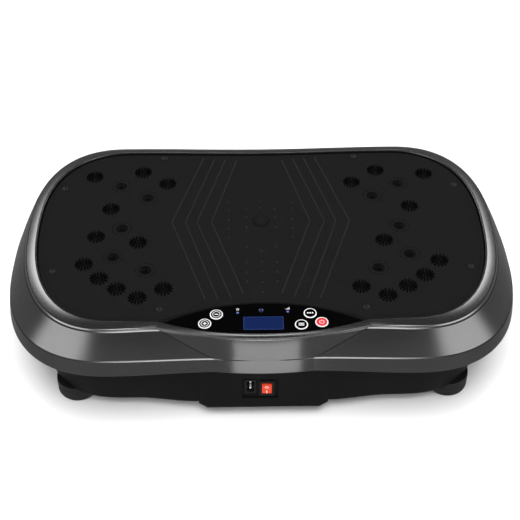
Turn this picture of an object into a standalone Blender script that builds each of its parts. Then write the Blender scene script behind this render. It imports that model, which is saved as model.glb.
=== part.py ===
"""Oscillating vibration plate: a rocking platform on a tub that holds its motor and crank.

The origin is on the floor under the middle of the plate. +X is to the user's right,
+Y is the rear, +Z is up. The control panel and the mains inlet face -Y.
"""

import math
from collections import namedtuple

import bmesh
import bpy
from mathutils import Matrix, Vector

MM = 0.001

# Overall size, at the skirt's hem and at the rim.
WIDTH = 528 * MM
DEPTH = 329 * MM
RIM_HEIGHT = 120.7 * MM
CREASE_HEIGHT = 89 * MM
HEM_HEIGHT = 72 * MM

# Clearances.
TOUCH_GAP = 0.3 * MM
SCREW_GAP = 0.3 * MM
MAT_GAP = 0.6 * MM
LENS_GAP = 0.5 * MM
MECHANISM_GAP = 5 * MM
OVERRUN = 1 * MM  # how far a cutter runs past what it cuts

# Shell.
SHELL_WALL = 3 * MM
RIM_WIDTH = 12 * MM
CREASE_INSET = 2 * MM
HEM_TO_RIM = 18 * MM
HEM_TO_RIM_DEPTH = 19.5 * MM
REAR_WAIST = 3 * MM
RIM_SIDE_Y = 9 * MM
HEM_SIDE_Y = -25 * MM
TUB_SIDE_Y = -12 * MM
CORNER_X = 150 * MM
SHELL_ROUNDNESS = 2.4
SHELF_WIDTH = 14 * MM
SHELF_THICKNESS = 3.5 * MM
DIAGONAL_TOP_X = 104 * MM
DIAGONAL_FOOT_X = 49 * MM
PANEL_BULGE = 14 * MM
PANEL_DIP = 2.2 * MM
HEM_WAIST = 4.2 * MM
HEM_CENTRE_WAIST = 1 * MM
RIM_WAIST = 1.8 * MM
CREASE_INSET_DEPTH = 4 * MM
CREASE_CENTRE_SHARE = 0.63
RIM_ARRIS = 0.5 * MM
RIM_FILLET = 1.6 * MM
# The opening's rim, where it is narrower than RIM_WIDTH.
REAR_RIM_WIDTH = 11 * MM
FRONT_RIM_WIDTH = 9.4 * MM
NOTCH_RIM_WIDTH = 6.4 * MM
LENS_RIM_WIDTH = 2.7 * MM
OPENING_CORNER_X = CORNER_X - 8 * MM
OPENING_NOTCH_X = DIAGONAL_TOP_X - 1 * MM

# Deck and mat.
DECK_THICKNESS = 8 * MM
MAT_THICKNESS = 3.8 * MM
MAT_BORDER = 4 * MM
MAT_BORDER_DROP = 1 * MM
MAT_BELOW_RIM = 2 * MM
MAT_NOTCH_SETBACK = 2.6 * MM
DECK_INSET = 1 * MM
PAD_RADIUS = 9.6 * MM
PAD_HEIGHT = 2 * MM
PAD_SINK = 1 * MM
DOME_RADIUS = 8.5 * MM
DOME_HEIGHT = 3.8 * MM
DOME_EDGE = 1 * MM
# Shares of the mat's half width and half depth, on the right; the left mirrors them.
PAD_PLACES = (
    (0.783, 0.687), (0.555, 0.741), (0.434, 0.584), (0.689, 0.267), (0.550, -0.146),
    (0.779, -0.392), (0.706, -0.552), (0.625, -0.670), (0.533, -0.769), (0.424, -0.673),
)
LEFT_PAD_PLACE = (-0.741, -0.071)
DOME_Y = 13.4 * MM
MAT_SCREW_PLACES = ((0.912, -0.463), (0.915, 0.534), (0.458, 0.935), (0.436, -0.885))
MAT_SCREW_RADIUS = 1.9 * MM
MAT_SCREW_HEAD = 3.8 * MM
MAT_SCREW_DOME = 1.4 * MM
MAT_SCREW_SHORT = 1 * MM

# Control panel, in its own tilted frame: its middle is the origin and its face is z = 0.
PANEL_TILT = math.radians(3)
LENS_HALF_WIDTH = 97.5 * MM
LENS_TIP_Y = -3 * MM
LENS_THICKNESS = 2.5 * MM
LENS_CURVE = 2.2
LENS_TIP_SHRINK = 2.5  # the tips draw in this much faster than the sides
LENS_TO_MAT = 2.8 * MM
LENS_BELOW_RIM = 0.6 * MM
TRAY_DEPTH = 7.3 * MM
TRAY_FLOOR = 1.6 * MM
TRAY_WALL = 1.2 * MM
TRAY_INSET = 0.3 * MM
BOARD_INSET = 2.2 * MM
DISPLAY_SIZE = (39 * MM, 17 * MM)
DISPLAY_Y = -4.8 * MM
DISPLAY_SUNK = 0.05 * MM
BUTTON_RADIUS = 6.4 * MM
BUTTON_SPACE = 3.2 * MM
BUTTON_PITCH = 2 * BUTTON_RADIUS + BUTTON_SPACE
# Each group of buttons: its middle, then its buttons in pitches from there.
LEFT_BUTTONS = (-51.4 * MM, 1 * MM)
RIGHT_BUTTONS = (46.4 * MM, 1 * MM)
BUTTON_SHARES = {
    "button_minus": (LEFT_BUTTONS, 0.35, 0.369),
    "button_plus": (LEFT_BUTTONS, -0.35, -0.369),
    "button_mode": (RIGHT_BUTTONS, -0.031, 0.394),
    "button_program": (RIGHT_BUTTONS, -0.6, -0.525),
    "button_power": (RIGHT_BUTTONS, 0.644, -0.35),
}
BUTTON_PLACES = {
    name: (x + across * BUTTON_PITCH, y + along * BUTTON_PITCH)
    for name, ((x, y), across, along) in BUTTON_SHARES.items()
}
LENS_MARGIN = 1.6 * MM
LENS_HALF_DEPTH = 3 * BUTTON_RADIUS + LENS_MARGIN
BUTTON_EDGE = 0.4 * MM
BUTTON_GAP = 0.25 * MM
BUTTON_PROUD = 0.4 * MM
BUTTON_FLANGE = 0.6 * MM
BUTTON_FLANGE_THICKNESS = 1.2 * MM
BOARD_THICKNESS = 1.4 * MM
KEY_SWITCH_RADIUS = 2.8 * MM
KEY_SWITCH_HEIGHT = 0.9 * MM
LED_PLACES = {"led_left": (-25 * MM, 9.2 * MM), "led_right": (24 * MM, 10 * MM)}
LED_RADIUS = 1.3 * MM
LED_PROUD = 0.1 * MM
IR_PLACE = (-2 * MM, 12 * MM)
IR_RADIUS = 2.6 * MM
IR_DOME = 0.7 * MM

# Tub.
TUB_FLOOR_HEIGHT = 14.8 * MM
TUB_HEIGHT = 82 * MM
TUB_WALL = 2.5 * MM
TUB_INSET = 15 * MM
TUB_FLARE = 23 * MM
TUB_FLARE_DEPTH = 6 * MM
TUB_CORNER_X = 130 * MM
TUB_ROUNDNESS = 3.1
TUB_EDGE = 5 * MM
TUB_FRONT_GAP = 14.5 * MM
TUB_FRONT_BULGE = 1 * MM
BOX_HALF_WIDTH = 57 * MM
BOX_CHAMFER = (9 * MM, 6 * MM)
BOX_LENGTH = 24 * MM
BOX_GAP = 1.5 * MM

# Feet.
FOOT_RADIUS = 21.5 * MM
FOOT_HEIGHT = 20 * MM
FOOT_EDGE = 5 * MM
FOOT_INSET_X = 12 * MM
FOOT_INSET_Y = 10.1 * MM
FOOT_SCREW_RADIUS = 2 * MM
FOOT_SCREW_HEAD = 4.2 * MM
FOOT_SCREW_HEAD_HEIGHT = 3.4 * MM
FOOT_COUNTERBORE = 8 * MM
FOOT_SCREW_GRIP = 5 * MM
FOOT_BOSS_WALL = 1.5 * MM
FOOT_BOSS_SKIRT = 4 * MM
FOOT_BOSS_CAP = 2 * MM

# Mains panel on the front box.
POWER_PANEL_SIZE = (36.5 * MM, 32.5 * MM)
POWER_PANEL_X = -3.7 * MM
POWER_PANEL_Z = 44.2 * MM
POWER_PANEL_FLANGE = 2.5 * MM
POWER_PANEL_THICKNESS = 2.5 * MM
INLET_X = -13.3 * MM
INLET_Z = 43.2 * MM
INLET_SIZE = (12 * MM, 20 * MM)
INLET_LENGTH = 16 * MM
INLET_PROUD = 0.8 * MM
INLET_ROUNDING = 0.5 * MM
SOCKET_WAIST = 5.5 * MM
SOCKET_RADIUS = 4.1 * MM
SOCKET_DEPTH = 11 * MM
PIN_PITCH = 8.6 * MM
PIN_RADIUS = 1.2 * MM
PIN_LENGTH = 9 * MM
PIN_SEAT = 3 * MM
SWITCH_X = 3.2 * MM
SWITCH_Z = 41 * MM
SWITCH_BEZEL = (15.5 * MM, 21.3 * MM)
SWITCH_BEZEL_THICKNESS = 1.6 * MM
SWITCH_BODY = (13 * MM, 18.8 * MM)
SWITCH_BODY_LENGTH = 14 * MM
ROCKER_WIDTH = 10 * MM
ROCKER_RADIUS = 7.5 * MM
ROCKER_VALLEY = 3.2 * MM
ROCKER_SPREAD = math.radians(65)
ROCKER_REST = math.radians(9)
ROCKER_GAP = 0.4 * MM
ROCKER_WELL = 9 * MM
ROCKER_AXIS_BACK = 2.1 * MM

# Chassis and rocking axis.
CHASSIS_THICKNESS = 3 * MM
CHASSIS_FOOT_GAP = 7.4 * MM
CHASSIS_SIDE_GAP = 28 * MM
CHASSIS_LIP = 12 * MM
AXIS_HEIGHT = 66 * MM
PIVOT_SHAFT_RADIUS = 6 * MM
PIVOT_BLOCK_INSET = 16 * MM
PIVOT_BLOCK_WIDTH = 40 * MM
BLOCK_THICKNESS = 12 * MM
PIVOT_BEARING_RADIUS = 14 * MM
BEARING_WIDTH = 9 * MM
BLOCK_CAP = 5 * MM
HANGER_WIDTH = 30 * MM
HANGER_THICKNESS = 6 * MM
HANGER_SPACE = 8 * MM
SHAFT_OVERHANG = 5 * MM

# Platform frame.
RAIL_TO_PIVOT = 4 * MM
RAIL_WIDTH = 24 * MM
RAIL_HEIGHT = 13 * MM
CROSS_WIDTH = 24 * MM
RAIL_END_GAP = 7.7 * MM

# Motor, belt and crank.
MOTOR_RADIUS = 28 * MM
MOTOR_LENGTH = 90 * MM
MOTOR_END_GAP = 10 * MM
MOTOR_LIFT = 1.1 * MM
MOTOR_WALL_GAP = 38 * MM
MOTOR_EDGE = 3 * MM
MOTOR_SHAFT_WELL = 8 * MM
MOTOR_SHAFT_RADIUS = 4 * MM
MOTOR_BOSS_RADIUS = 11 * MM
BOSS_PROUD = 1 * MM
MOTOR_BRACKET_THICKNESS = 3 * MM
MOTOR_BRACKET_FOOT = 28 * MM
MOTOR_BRACKET_MARGIN = 2 * MM
MOTOR_PULLEY_RADIUS = 9.5 * MM
DRIVEN_PULLEY_RADIUS = 19 * MM
MOTOR_TO_PULLEY = 8 * MM
PULLEY_FLANGE = 1.5 * MM
PULLEY_FLANGE_THICKNESS = 1.4 * MM
BELT_WIDTH = 8.6 * MM
BELT_THICKNESS = 2 * MM
CRANK_HEIGHT = 42.5 * MM
CRANK_RADIUS = 6 * MM
CRANK_THROW = 2.6 * MM
CRANK_BLOCK_WIDTH = 44 * MM
CRANK_BEARING_RADIUS = 11 * MM
ECCENTRIC_RADIUS = 12.5 * MM
SHAFT_END = 3 * MM
CRANK_END = 4 * MM
EAR_TO_BLOCK = 3 * MM
ROD_WALL = 5 * MM
ROD_WIDTH = 11 * MM
ROD_LENGTH = 32.5 * MM
ROD_SIDE_GAP = 1 * MM
ROD_SHANK_WIDTH = 14 * MM
WRIST_PIN_RADIUS = 4 * MM
WRIST_CLEARANCE = 5.6 * MM
WRIST_WALL = 2.6 * MM
EAR_THICKNESS = 5 * MM
WRIST_PIN_END = 2 * MM
FRAME_STEP = 1 * MM  # keeps joined members from sharing a face

# Electronics in the tub.
POWER_BOARD_SIZE = (70 * MM, 90 * MM)
POWER_BOARD_LIFT = 5 * MM
POWER_BOARD_THICKNESS = 1.6 * MM
POWER_BOARD_GAP = 20 * MM
STANDOFF_INSET = 6 * MM
TRANSFORMER_SIZE = (32 * MM, 32 * MM, 26 * MM)
TRANSFORMER_PLACE = (-14 * MM, -20 * MM)
HEATSINK_SIZE = (6 * MM, 76 * MM, 22 * MM)
HEATSINK_PLACE = (17 * MM, 0 * MM)
CAPACITOR_RADIUS = 8 * MM
CAPACITOR_HEIGHT = 24 * MM
CAPACITOR_PLACES = ((-20 * MM, 12 * MM), (-1 * MM, 12 * MM))
BOARD_SINK = 0.5 * MM
STANDOFF_RADIUS = 3 * MM
LOOM_RADIUS = 2 * MM
LOOM_LIFT = 1.5 * MM
LOOM_START_Y = 20 * MM
LOOM_MOTOR_GAP = 26 * MM

SEGMENTS = 24
SMALL_SEGMENTS = 16
TINY_SEGMENTS = 12
REAR_STEPS = 4
CORNER_STEPS = 8
FRONT_STEPS = 4
PANEL_STEPS = 6
EDGE_STEPS = 2
ROCKER_STEPS = 4
BELT_STEPS = 6
LOOM_STEPS = 3


# ---------------------------------------------------------------- outlines

Outline = namedtuple(
    "Outline",
    "half_width corner_x rear rear_waist front notch_x notch_y centre roundness side_y",
)


def inset(outline, distance):
    """The same outline drawn in by a distance on every side."""
    return outline._replace(
        half_width=outline.half_width - distance,
        rear=outline.rear - distance,
        rear_waist=outline.rear_waist - distance,
        front=outline.front - distance,
        notch_y=outline.notch_y - distance,
        centre=outline.centre - distance,
    )


def between(first, second, share):
    return Outline(*(a + (b - a) * share for a, b in zip(first, second)))


def half_outline(outline):
    """Points of the right half, from the rear's middle round to the front's middle."""
    o = outline
    power = 2 / o.roundness
    points = []
    for step in range(REAR_STEPS):
        t = step / REAR_STEPS
        wave = (1 + math.cos(math.pi * t)) / 2
        points.append((o.corner_x * t, o.rear - (o.rear - o.rear_waist) * wave))
    reach = o.half_width - o.corner_x
    for step in range(CORNER_STEPS):
        angle = math.pi / 2 * step / CORNER_STEPS
        x = o.corner_x + reach * math.sin(angle) ** power
        points.append((x, o.side_y + (o.rear - o.side_y) * math.cos(angle) ** power))
    for step in range(CORNER_STEPS):
        angle = math.pi / 2 * step / CORNER_STEPS
        x = o.corner_x + reach * math.cos(angle) ** power
        points.append((x, o.side_y - (o.front + o.side_y) * math.sin(angle) ** power))
    for step in range(FRONT_STEPS):
        t = step / FRONT_STEPS
        wave = (1 - math.cos(math.pi * t)) / 2
        x = o.corner_x + (o.notch_x - o.corner_x) * t
        points.append((x, -o.front - (o.notch_y - o.front) * wave))
    for step in range(PANEL_STEPS + 1):
        x = o.notch_x * (1 - step / PANEL_STEPS)
        points.append((x, -o.centre + (o.centre - o.notch_y) * (x / o.notch_x) ** 2))
    return points


def front_corner_x(outline, depth):
    """How far across an outline's front corner reaches, at a depth in front of the middle."""
    share = (depth + outline.side_y) / (outline.front + outline.side_y)
    reach = (1 - share**outline.roundness) ** (1 / outline.roundness)
    return outline.corner_x + (outline.half_width - outline.corner_x) * reach


def ring(outline, height, dip=0.0):
    """A closed loop at a height, which dips along the front's middle span."""
    right = half_outline(outline)
    first = len(right) - PANEL_STEPS - 1
    points = []
    for index, (x, y) in enumerate(right):
        drop = dip * (1 - (x / outline.notch_x) ** 2) if index >= first else 0.0
        points.append((x, y, height - drop))
    return points + [(-x, y, z) for x, y, z in reversed(points[1:-1])]


HALF_WIDTH = WIDTH / 2
HALF_DEPTH = DEPTH / 2

HEM = Outline(
    HALF_WIDTH, CORNER_X, HALF_DEPTH, HALF_DEPTH - REAR_WAIST, HALF_DEPTH,
    DIAGONAL_FOOT_X, HALF_DEPTH - HEM_WAIST, HALF_DEPTH - HEM_CENTRE_WAIST, SHELL_ROUNDNESS,
    HEM_SIDE_Y,
)
RIM = Outline(
    HALF_WIDTH - HEM_TO_RIM, CORNER_X, HALF_DEPTH - HEM_TO_RIM_DEPTH,
    HALF_DEPTH - HEM_TO_RIM_DEPTH - REAR_WAIST, HALF_DEPTH - HEM_TO_RIM_DEPTH,
    DIAGONAL_TOP_X, HALF_DEPTH - HEM_TO_RIM_DEPTH - RIM_WAIST,
    HALF_DEPTH - HEM_TO_RIM_DEPTH + PANEL_BULGE - RIM_WAIST, SHELL_ROUNDNESS,
    RIM_SIDE_Y,
)
CREASE = inset(HEM, CREASE_INSET)._replace(
    front=HEM.front - CREASE_INSET_DEPTH,
    rear=HEM.rear - CREASE_INSET_DEPTH,
    rear_waist=HEM.rear_waist - CREASE_INSET_DEPTH,
    centre=RIM.centre + (HEM.centre - RIM.centre) * CREASE_CENTRE_SHARE,
)
OPENING = inset(RIM, RIM_WIDTH)._replace(
    front=RIM.front - FRONT_RIM_WIDTH,
    rear=RIM.rear - REAR_RIM_WIDTH,
    rear_waist=RIM.rear_waist - REAR_RIM_WIDTH,
    corner_x=OPENING_CORNER_X,
    notch_x=OPENING_NOTCH_X,
    notch_y=RIM.notch_y - NOTCH_RIM_WIDTH,
    centre=RIM.centre - LENS_RIM_WIDTH,
)
TUB_TOP = Outline(
    HALF_WIDTH - TUB_INSET, TUB_CORNER_X, HALF_DEPTH - TUB_FRONT_GAP,
    HALF_DEPTH - TUB_FRONT_GAP - REAR_WAIST, HALF_DEPTH - TUB_FRONT_GAP,
    BOX_HALF_WIDTH + BOX_CHAMFER[0], HALF_DEPTH - TUB_FRONT_GAP + TUB_FRONT_BULGE,
    HALF_DEPTH - TUB_FRONT_GAP + TUB_FRONT_BULGE, TUB_ROUNDNESS, TUB_SIDE_Y,
)
TUB_BOTTOM = inset(TUB_TOP, TUB_FLARE_DEPTH)._replace(
    half_width=TUB_TOP.half_width - TUB_FLARE,
    notch_y=TUB_TOP.notch_y - TUB_FRONT_BULGE,
    centre=TUB_TOP.centre - TUB_FRONT_BULGE,
)

# Where things stand.
LENS_TOP = RIM_HEIGHT - PANEL_DIP - LENS_BELOW_RIM
LENS_CENTRE_Y = -(OPENING.centre - LENS_GAP - LENS_HALF_DEPTH)
MAT_TOP = RIM_HEIGHT - MAT_BELOW_RIM
MAT_BOTTOM = MAT_TOP - MAT_THICKNESS
DECK_TOP = MAT_BOTTOM - TOUCH_GAP
DECK_BOTTOM = DECK_TOP - DECK_THICKNESS
SHELF_TOP = DECK_BOTTOM - TOUCH_GAP
SHELF_BOTTOM = SHELF_TOP - SHELF_THICKNESS
MAT = inset(OPENING, MAT_GAP)._replace(
    notch_y=OPENING.notch_y - MAT_NOTCH_SETBACK,
    centre=-(LENS_CENTRE_Y + LENS_HALF_DEPTH + LENS_TO_MAT),
)
DECK = inset(MAT, DECK_INSET)
FRAME_TOP = DECK_BOTTOM - TOUCH_GAP
FRAME_BOTTOM = FRAME_TOP - RAIL_HEIGHT
CHASSIS_BOTTOM = TUB_FLOOR_HEIGHT + TUB_WALL + TOUCH_GAP
CHASSIS_TOP = CHASSIS_BOTTOM + CHASSIS_THICKNESS
ON_CHASSIS = CHASSIS_TOP + TOUCH_GAP
FOOT_BOSS_TOP = FOOT_HEIGHT + TOUCH_GAP + FOOT_SCREW_GRIP + FOOT_BOSS_CAP
FOOT_BOSS_RADIUS = FOOT_RADIUS + FOOT_BOSS_WALL
FOOT_X = TUB_BOTTOM.half_width - FOOT_INSET_X - FOOT_RADIUS
FOOT_Y = TUB_BOTTOM.front - FOOT_INSET_Y - FOOT_RADIUS
BOX_FRONT_Y = -(HEM.notch_y - SHELL_WALL - BOX_GAP)
CHASSIS_HALF_DEPTH = FOOT_Y - FOOT_BOSS_RADIUS - CHASSIS_FOOT_GAP
PIVOT_BLOCK_Y = CHASSIS_HALF_DEPTH - PIVOT_BLOCK_INSET
RAIL_Y = PIVOT_BLOCK_Y - RAIL_TO_PIVOT
MOTOR_HEIGHT = ON_CHASSIS + MOTOR_LIFT + MOTOR_RADIUS
MOTOR_BACK_Y = CHASSIS_HALF_DEPTH - MOTOR_END_GAP
MOTOR_FRONT_Y = MOTOR_BACK_Y - MOTOR_LENGTH
PULLEY_BACK_Y = MOTOR_FRONT_Y - MOTOR_TO_PULLEY
TUB_FLOOR_INSIDE = TUB_BOTTOM.half_width - TUB_WALL
MOTOR_X = TUB_FLOOR_INSIDE - MOTOR_WALL_GAP - MOTOR_RADIUS
CRANK_X = MOTOR_X - MOTOR_RADIUS - CRANK_BLOCK_WIDTH / 2 - MECHANISM_GAP
WRIST_HEIGHT = CRANK_HEIGHT + ROD_LENGTH
WRIST_BORE = WRIST_PIN_RADIUS + WRIST_CLEARANCE
PULLEY_WIDTH = BELT_WIDTH + 2 * PULLEY_FLANGE_THICKNESS + 2 * TOUCH_GAP
FRONT_CRANK_BLOCK_Y = PULLEY_BACK_Y + MECHANISM_GAP + BLOCK_THICKNESS / 2
EAR_SPACE = ROD_WIDTH / 2 + ROD_SIDE_GAP
EAR_FRONT_Y = FRONT_CRANK_BLOCK_Y + BLOCK_THICKNESS / 2 + EAR_TO_BLOCK
ROD_Y = EAR_FRONT_Y + EAR_THICKNESS + EAR_SPACE
REAR_CRANK_BLOCK_Y = 2 * ROD_Y - FRONT_CRANK_BLOCK_Y
HANGER_Y = PIVOT_BLOCK_Y + BLOCK_THICKNESS / 2 + HANGER_SPACE + HANGER_THICKNESS / 2


# ---------------------------------------------------------------- scene helpers

def clear_scene():
    for obj in list(bpy.data.objects):
        bpy.data.objects.remove(obj, do_unlink=True)


def material(name, colour, roughness, metallic=0.0):
    made = bpy.data.materials.new(name)
    made.use_nodes = True
    shader = made.node_tree.nodes["Principled BSDF"]
    shader.inputs["Base Color"].default_value = (*colour, 1)
    shader.inputs["Roughness"].default_value = roughness
    shader.inputs["Metallic"].default_value = metallic
    made.diffuse_color = (*colour, 1)
    return made


def add_object(name, work, finish=None, origin=(0, 0, 0), parent=None):
    """An object from a bmesh drawn in its parent's frame, with its origin moved to a point."""
    origin = Vector(origin)
    bmesh.ops.translate(work, verts=work.verts, vec=-origin)
    bmesh.ops.recalc_face_normals(work, faces=work.faces)
    mesh = bpy.data.meshes.new(name)
    work.to_mesh(mesh)
    work.free()
    mesh.shade_smooth()
    mesh.set_sharp_from_angle(angle=math.radians(35))
    obj = bpy.data.objects.new(name, mesh)
    bpy.context.scene.collection.objects.link(obj)
    obj.location = origin
    obj.parent = parent
    if finish:
        mesh.materials.append(finish)
    return obj


def helper(name, work, parent=None):
    """A shape that only cuts or joins another one."""
    obj = add_object(name, work, parent=parent)
    obj.hide_render = True
    obj.display_type = "WIRE"
    return obj


def apply_shape(target, tool, operation):
    boolean = target.modifiers.new(tool.name, "BOOLEAN")
    boolean.operation = operation
    boolean.solver = "EXACT"
    boolean.object = tool


def cut(target, name, work, parent=None):
    apply_shape(target, helper(name, work, parent), "DIFFERENCE")


def join(target, name, work, parent=None):
    apply_shape(target, helper(name, work, parent), "UNION")


def round_edges(obj, width, segments=2, angle=40):
    bevel = obj.modifiers.new("round_edges", "BEVEL")
    bevel.width = width
    bevel.segments = segments
    bevel.limit_method = "ANGLE"
    bevel.angle_limit = math.radians(angle)


# ---------------------------------------------------------------- shapes

def skin(rings, hollow=False):
    """A body through rings of equal length, capped at its ends or closed into a hoop."""
    work = bmesh.new()
    loops = [[work.verts.new(point) for point in points] for points in rings]
    pairs = list(zip(loops, loops[1:]))
    if hollow:
        pairs.append((loops[-1], loops[0]))
    else:
        work.faces.new(loops[0])
        work.faces.new(loops[-1])
    for lower, upper in pairs:
        for index in range(len(lower)):
            after = (index + 1) % len(lower)
            work.faces.new((lower[index], lower[after], upper[after], upper[index]))
    return work


def block(low, high):
    work = bmesh.new()
    low, high = Vector(low), Vector(high)
    bmesh.ops.create_cube(work, size=1)
    bmesh.ops.scale(work, verts=work.verts, vec=high - low)
    bmesh.ops.translate(work, verts=work.verts, vec=(low + high) / 2)
    return work


def combined(pieces):
    """Several shapes in one bmesh."""
    total = bmesh.new()
    for piece in pieces:
        mesh = bpy.data.meshes.new("piece")
        bmesh.ops.recalc_face_normals(piece, faces=piece.faces)
        piece.to_mesh(mesh)
        piece.free()
        total.from_mesh(mesh)
        bpy.data.meshes.remove(mesh)
    return total


def turned(profile, centre=(0, 0, 0), axis="Z", segments=SEGMENTS):
    """A closed (radius, height) profile turned about an axis through a centre."""
    work = bmesh.new()
    columns = []
    for step in range(segments):
        angle = 2 * math.pi * step / segments
        columns.append((math.cos(angle), math.sin(angle)))
    loops = []
    for radius, height in profile:
        if radius == 0:
            loops.append([work.verts.new((0, 0, height))])
        else:
            loops.append([work.verts.new((radius * c, radius * s, height)) for c, s in columns])
    for lower, upper in zip(loops, loops[1:] + loops[:1]):
        for index in range(segments):
            after = (index + 1) % segments
            corners = [lower[index % len(lower)], lower[after % len(lower)]]
            corners += [upper[after % len(upper)], upper[index % len(upper)]]
            face = list(dict.fromkeys(corners))
            if len(face) > 2:
                work.faces.new(face)
    turn = Matrix.Identity(4)
    if axis == "Y":
        turn = Matrix.Rotation(math.radians(-90), 4, "X")
    if axis == "X":
        turn = Matrix.Rotation(math.radians(90), 4, "Y")
    bmesh.ops.transform(work, matrix=Matrix.Translation(centre) @ turn, verts=work.verts)
    return work


def rod(radius, low, high, centre=(0, 0, 0), axis="Z", segments=SEGMENTS):
    """A plain round bar between two heights along an axis."""
    profile = ((0, low), (radius, low), (radius, high), (0, high))
    return turned(profile, centre, axis, segments)


def tube(inner, outer, low, high, centre=(0, 0, 0), axis="Z", segments=SEGMENTS):
    profile = ((inner, low), (outer, low), (outer, high), (inner, high))
    return turned(profile, centre, axis, segments)


def prism(outline, low, high, axis="Z"):
    """A flat outline extruded along an axis. Along Y it holds (x, z), along X (y, z)."""
    places = {
        "Z": lambda a, b, h: (a, b, h),
        "Y": lambda a, b, h: (a, h, b),
        "X": lambda a, b, h: (h, a, b),
    }
    place = places[axis]
    return skin([[place(a, b, h) for a, b in outline] for h in (low, high)])


def lens_outline(shrink=0.0):
    """The eye shape between two shallow arcs, in the panel's frame."""
    half_width = LENS_HALF_WIDTH - LENS_TIP_SHRINK * shrink
    steps = 2 * PANEL_STEPS
    points = []
    for side in (1, -1):
        rise = side * (LENS_HALF_DEPTH - shrink) - LENS_TIP_Y
        for step in range(steps):
            x = side * half_width * math.cos(math.pi * step / steps)
            share = abs(x / half_width) ** LENS_CURVE
            points.append((x, LENS_TIP_Y + rise * (1 - share)))
    return points


def rectangle(centre, size):
    """Corners of an upright rectangle about a centre."""
    (x, y), (width, height) = centre, size
    a, b = width / 2, height / 2
    return ((x - a, y - b), (x + a, y - b), (x + a, y + b), (x - a, y + b))


def screw_places():
    """The mat screws' places, named by where they are."""
    names = ("front_side", "rear_side", "rear", "front")
    for name, (across, along) in zip(names, MAT_SCREW_PLACES):
        reach = MAT.rear if along > 0 else MAT.front
        for side, x in (("left", -across), ("right", across)):
            yield f"{name}_{side}", x * MAT.half_width, along * reach


def foot_places():
    for depth, y in (("front", -FOOT_Y), ("rear", FOOT_Y)):
        for side, x in (("left", -FOOT_X), ("right", FOOT_X)):
            yield f"{depth}_{side}", x, y


# ---------------------------------------------------------------- tub and feet

def box_plan(shrink=0.0):
    """Plan of the box that stands forward of the tub, round its three outer sides."""
    front = BOX_FRONT_Y + shrink
    back = BOX_FRONT_Y + BOX_LENGTH
    half = BOX_HALF_WIDTH - shrink
    wide = half + BOX_CHAMFER[0]
    side = front + BOX_CHAMFER[1]
    return ((-half, front), (half, front), (wide, side), (wide, back), (-wide, back), (-wide, side))


def tub_rings(shrink, floor):
    """Rings of the tub's wall from its floor's rounded edge to its top."""
    low = inset(TUB_BOTTOM, shrink)
    high = inset(TUB_TOP, shrink)
    rings = []
    for step in range(EDGE_STEPS + 1):
        angle = math.pi / 2 * step / EDGE_STEPS
        pulled = inset(low, TUB_EDGE * (1 - math.sin(angle)))
        rings.append(ring(pulled, floor + TUB_EDGE * (1 - math.cos(angle))))
    share = TUB_EDGE / (TUB_HEIGHT - TUB_FLOOR_HEIGHT)
    rings[-1] = ring(between(low, high, share), floor + TUB_EDGE)
    return rings + [ring(high, TUB_HEIGHT)]


def make_base_housing(finish):
    tub = add_object("base_housing", skin(tub_rings(0, TUB_FLOOR_HEIGHT)), finish)
    inner_floor = TUB_FLOOR_HEIGHT + TUB_WALL
    join(tub, "box_shape", prism(box_plan(), TUB_FLOOR_HEIGHT, TUB_HEIGHT))
    low = ring(inset(TUB_BOTTOM, 2 * TUB_WALL), inner_floor)
    high = ring(inset(TUB_TOP, TUB_WALL), TUB_HEIGHT)
    above = [(x, y, TUB_HEIGHT + OVERRUN) for x, y, _ in high]
    hollow = helper("tub_hollow", skin([low, high, above]))
    bosses, pockets = [], []
    for _, x, y in foot_places():
        top = FOOT_HEIGHT + TOUCH_GAP
        bosses.append(rod(FOOT_BOSS_RADIUS, top - FOOT_BOSS_SKIRT, FOOT_BOSS_TOP, (x, y, 0)))
        pocket = ((0, 0), (FOOT_RADIUS + TOUCH_GAP, 0), (FOOT_RADIUS + TOUCH_GAP, top))
        hole = FOOT_SCREW_RADIUS + SCREW_GAP
        grip = top + FOOT_SCREW_GRIP
        pockets.append(turned(pocket + ((hole, top), (hole, grip), (0, grip)), (x, y, 0)))
    cut(hollow, "foot_bosses", combined(bosses))
    apply_shape(tub, hollow, "DIFFERENCE")
    cut(tub, "box_hollow", prism(box_plan(TUB_WALL), inner_floor, TUB_HEIGHT + OVERRUN))
    cut(tub, "foot_pockets", combined(pockets))
    window = rectangle((POWER_PANEL_X, POWER_PANEL_Z), POWER_PANEL_SIZE)
    ends = (BOX_FRONT_Y - OVERRUN, BOX_FRONT_Y + TUB_WALL + OVERRUN)
    cut(tub, "power_window", prism(window, *ends, "Y"))


def make_feet(rubber, steel):
    bore = FOOT_SCREW_RADIUS + SCREW_GAP
    head = FOOT_SCREW_HEAD + SCREW_GAP
    edge = FOOT_EDGE
    profile = [(bore, FOOT_HEIGHT), (bore, FOOT_COUNTERBORE), (head, FOOT_COUNTERBORE), (head, 0)]
    for step in range(EDGE_STEPS + 1):
        angle = math.pi / 2 * step / EDGE_STEPS
        radius = FOOT_RADIUS - edge * (1 - math.sin(angle))
        profile.append((radius, edge * (1 - math.cos(angle))))
    profile.append((FOOT_RADIUS, FOOT_HEIGHT))
    seat = FOOT_COUNTERBORE - TOUCH_GAP
    under = seat - FOOT_SCREW_HEAD_HEIGHT
    tip = FOOT_HEIGHT + FOOT_SCREW_GRIP
    screw = [(0, under), (FOOT_SCREW_HEAD, under), (FOOT_SCREW_HEAD, seat)]
    screw += [(FOOT_SCREW_RADIUS, seat), (FOOT_SCREW_RADIUS, tip), (0, tip)]
    for name, x, y in foot_places():
        add_object(f"foot_{name}", turned(profile, (x, y, 0)), rubber, (x, y, 0))
        shape = turned(screw, (x, y, 0), segments=TINY_SEGMENTS)
        add_object(f"foot_screw_{name}", shape, steel, (x, y, 0))


# ---------------------------------------------------------------- mains panel

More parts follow.
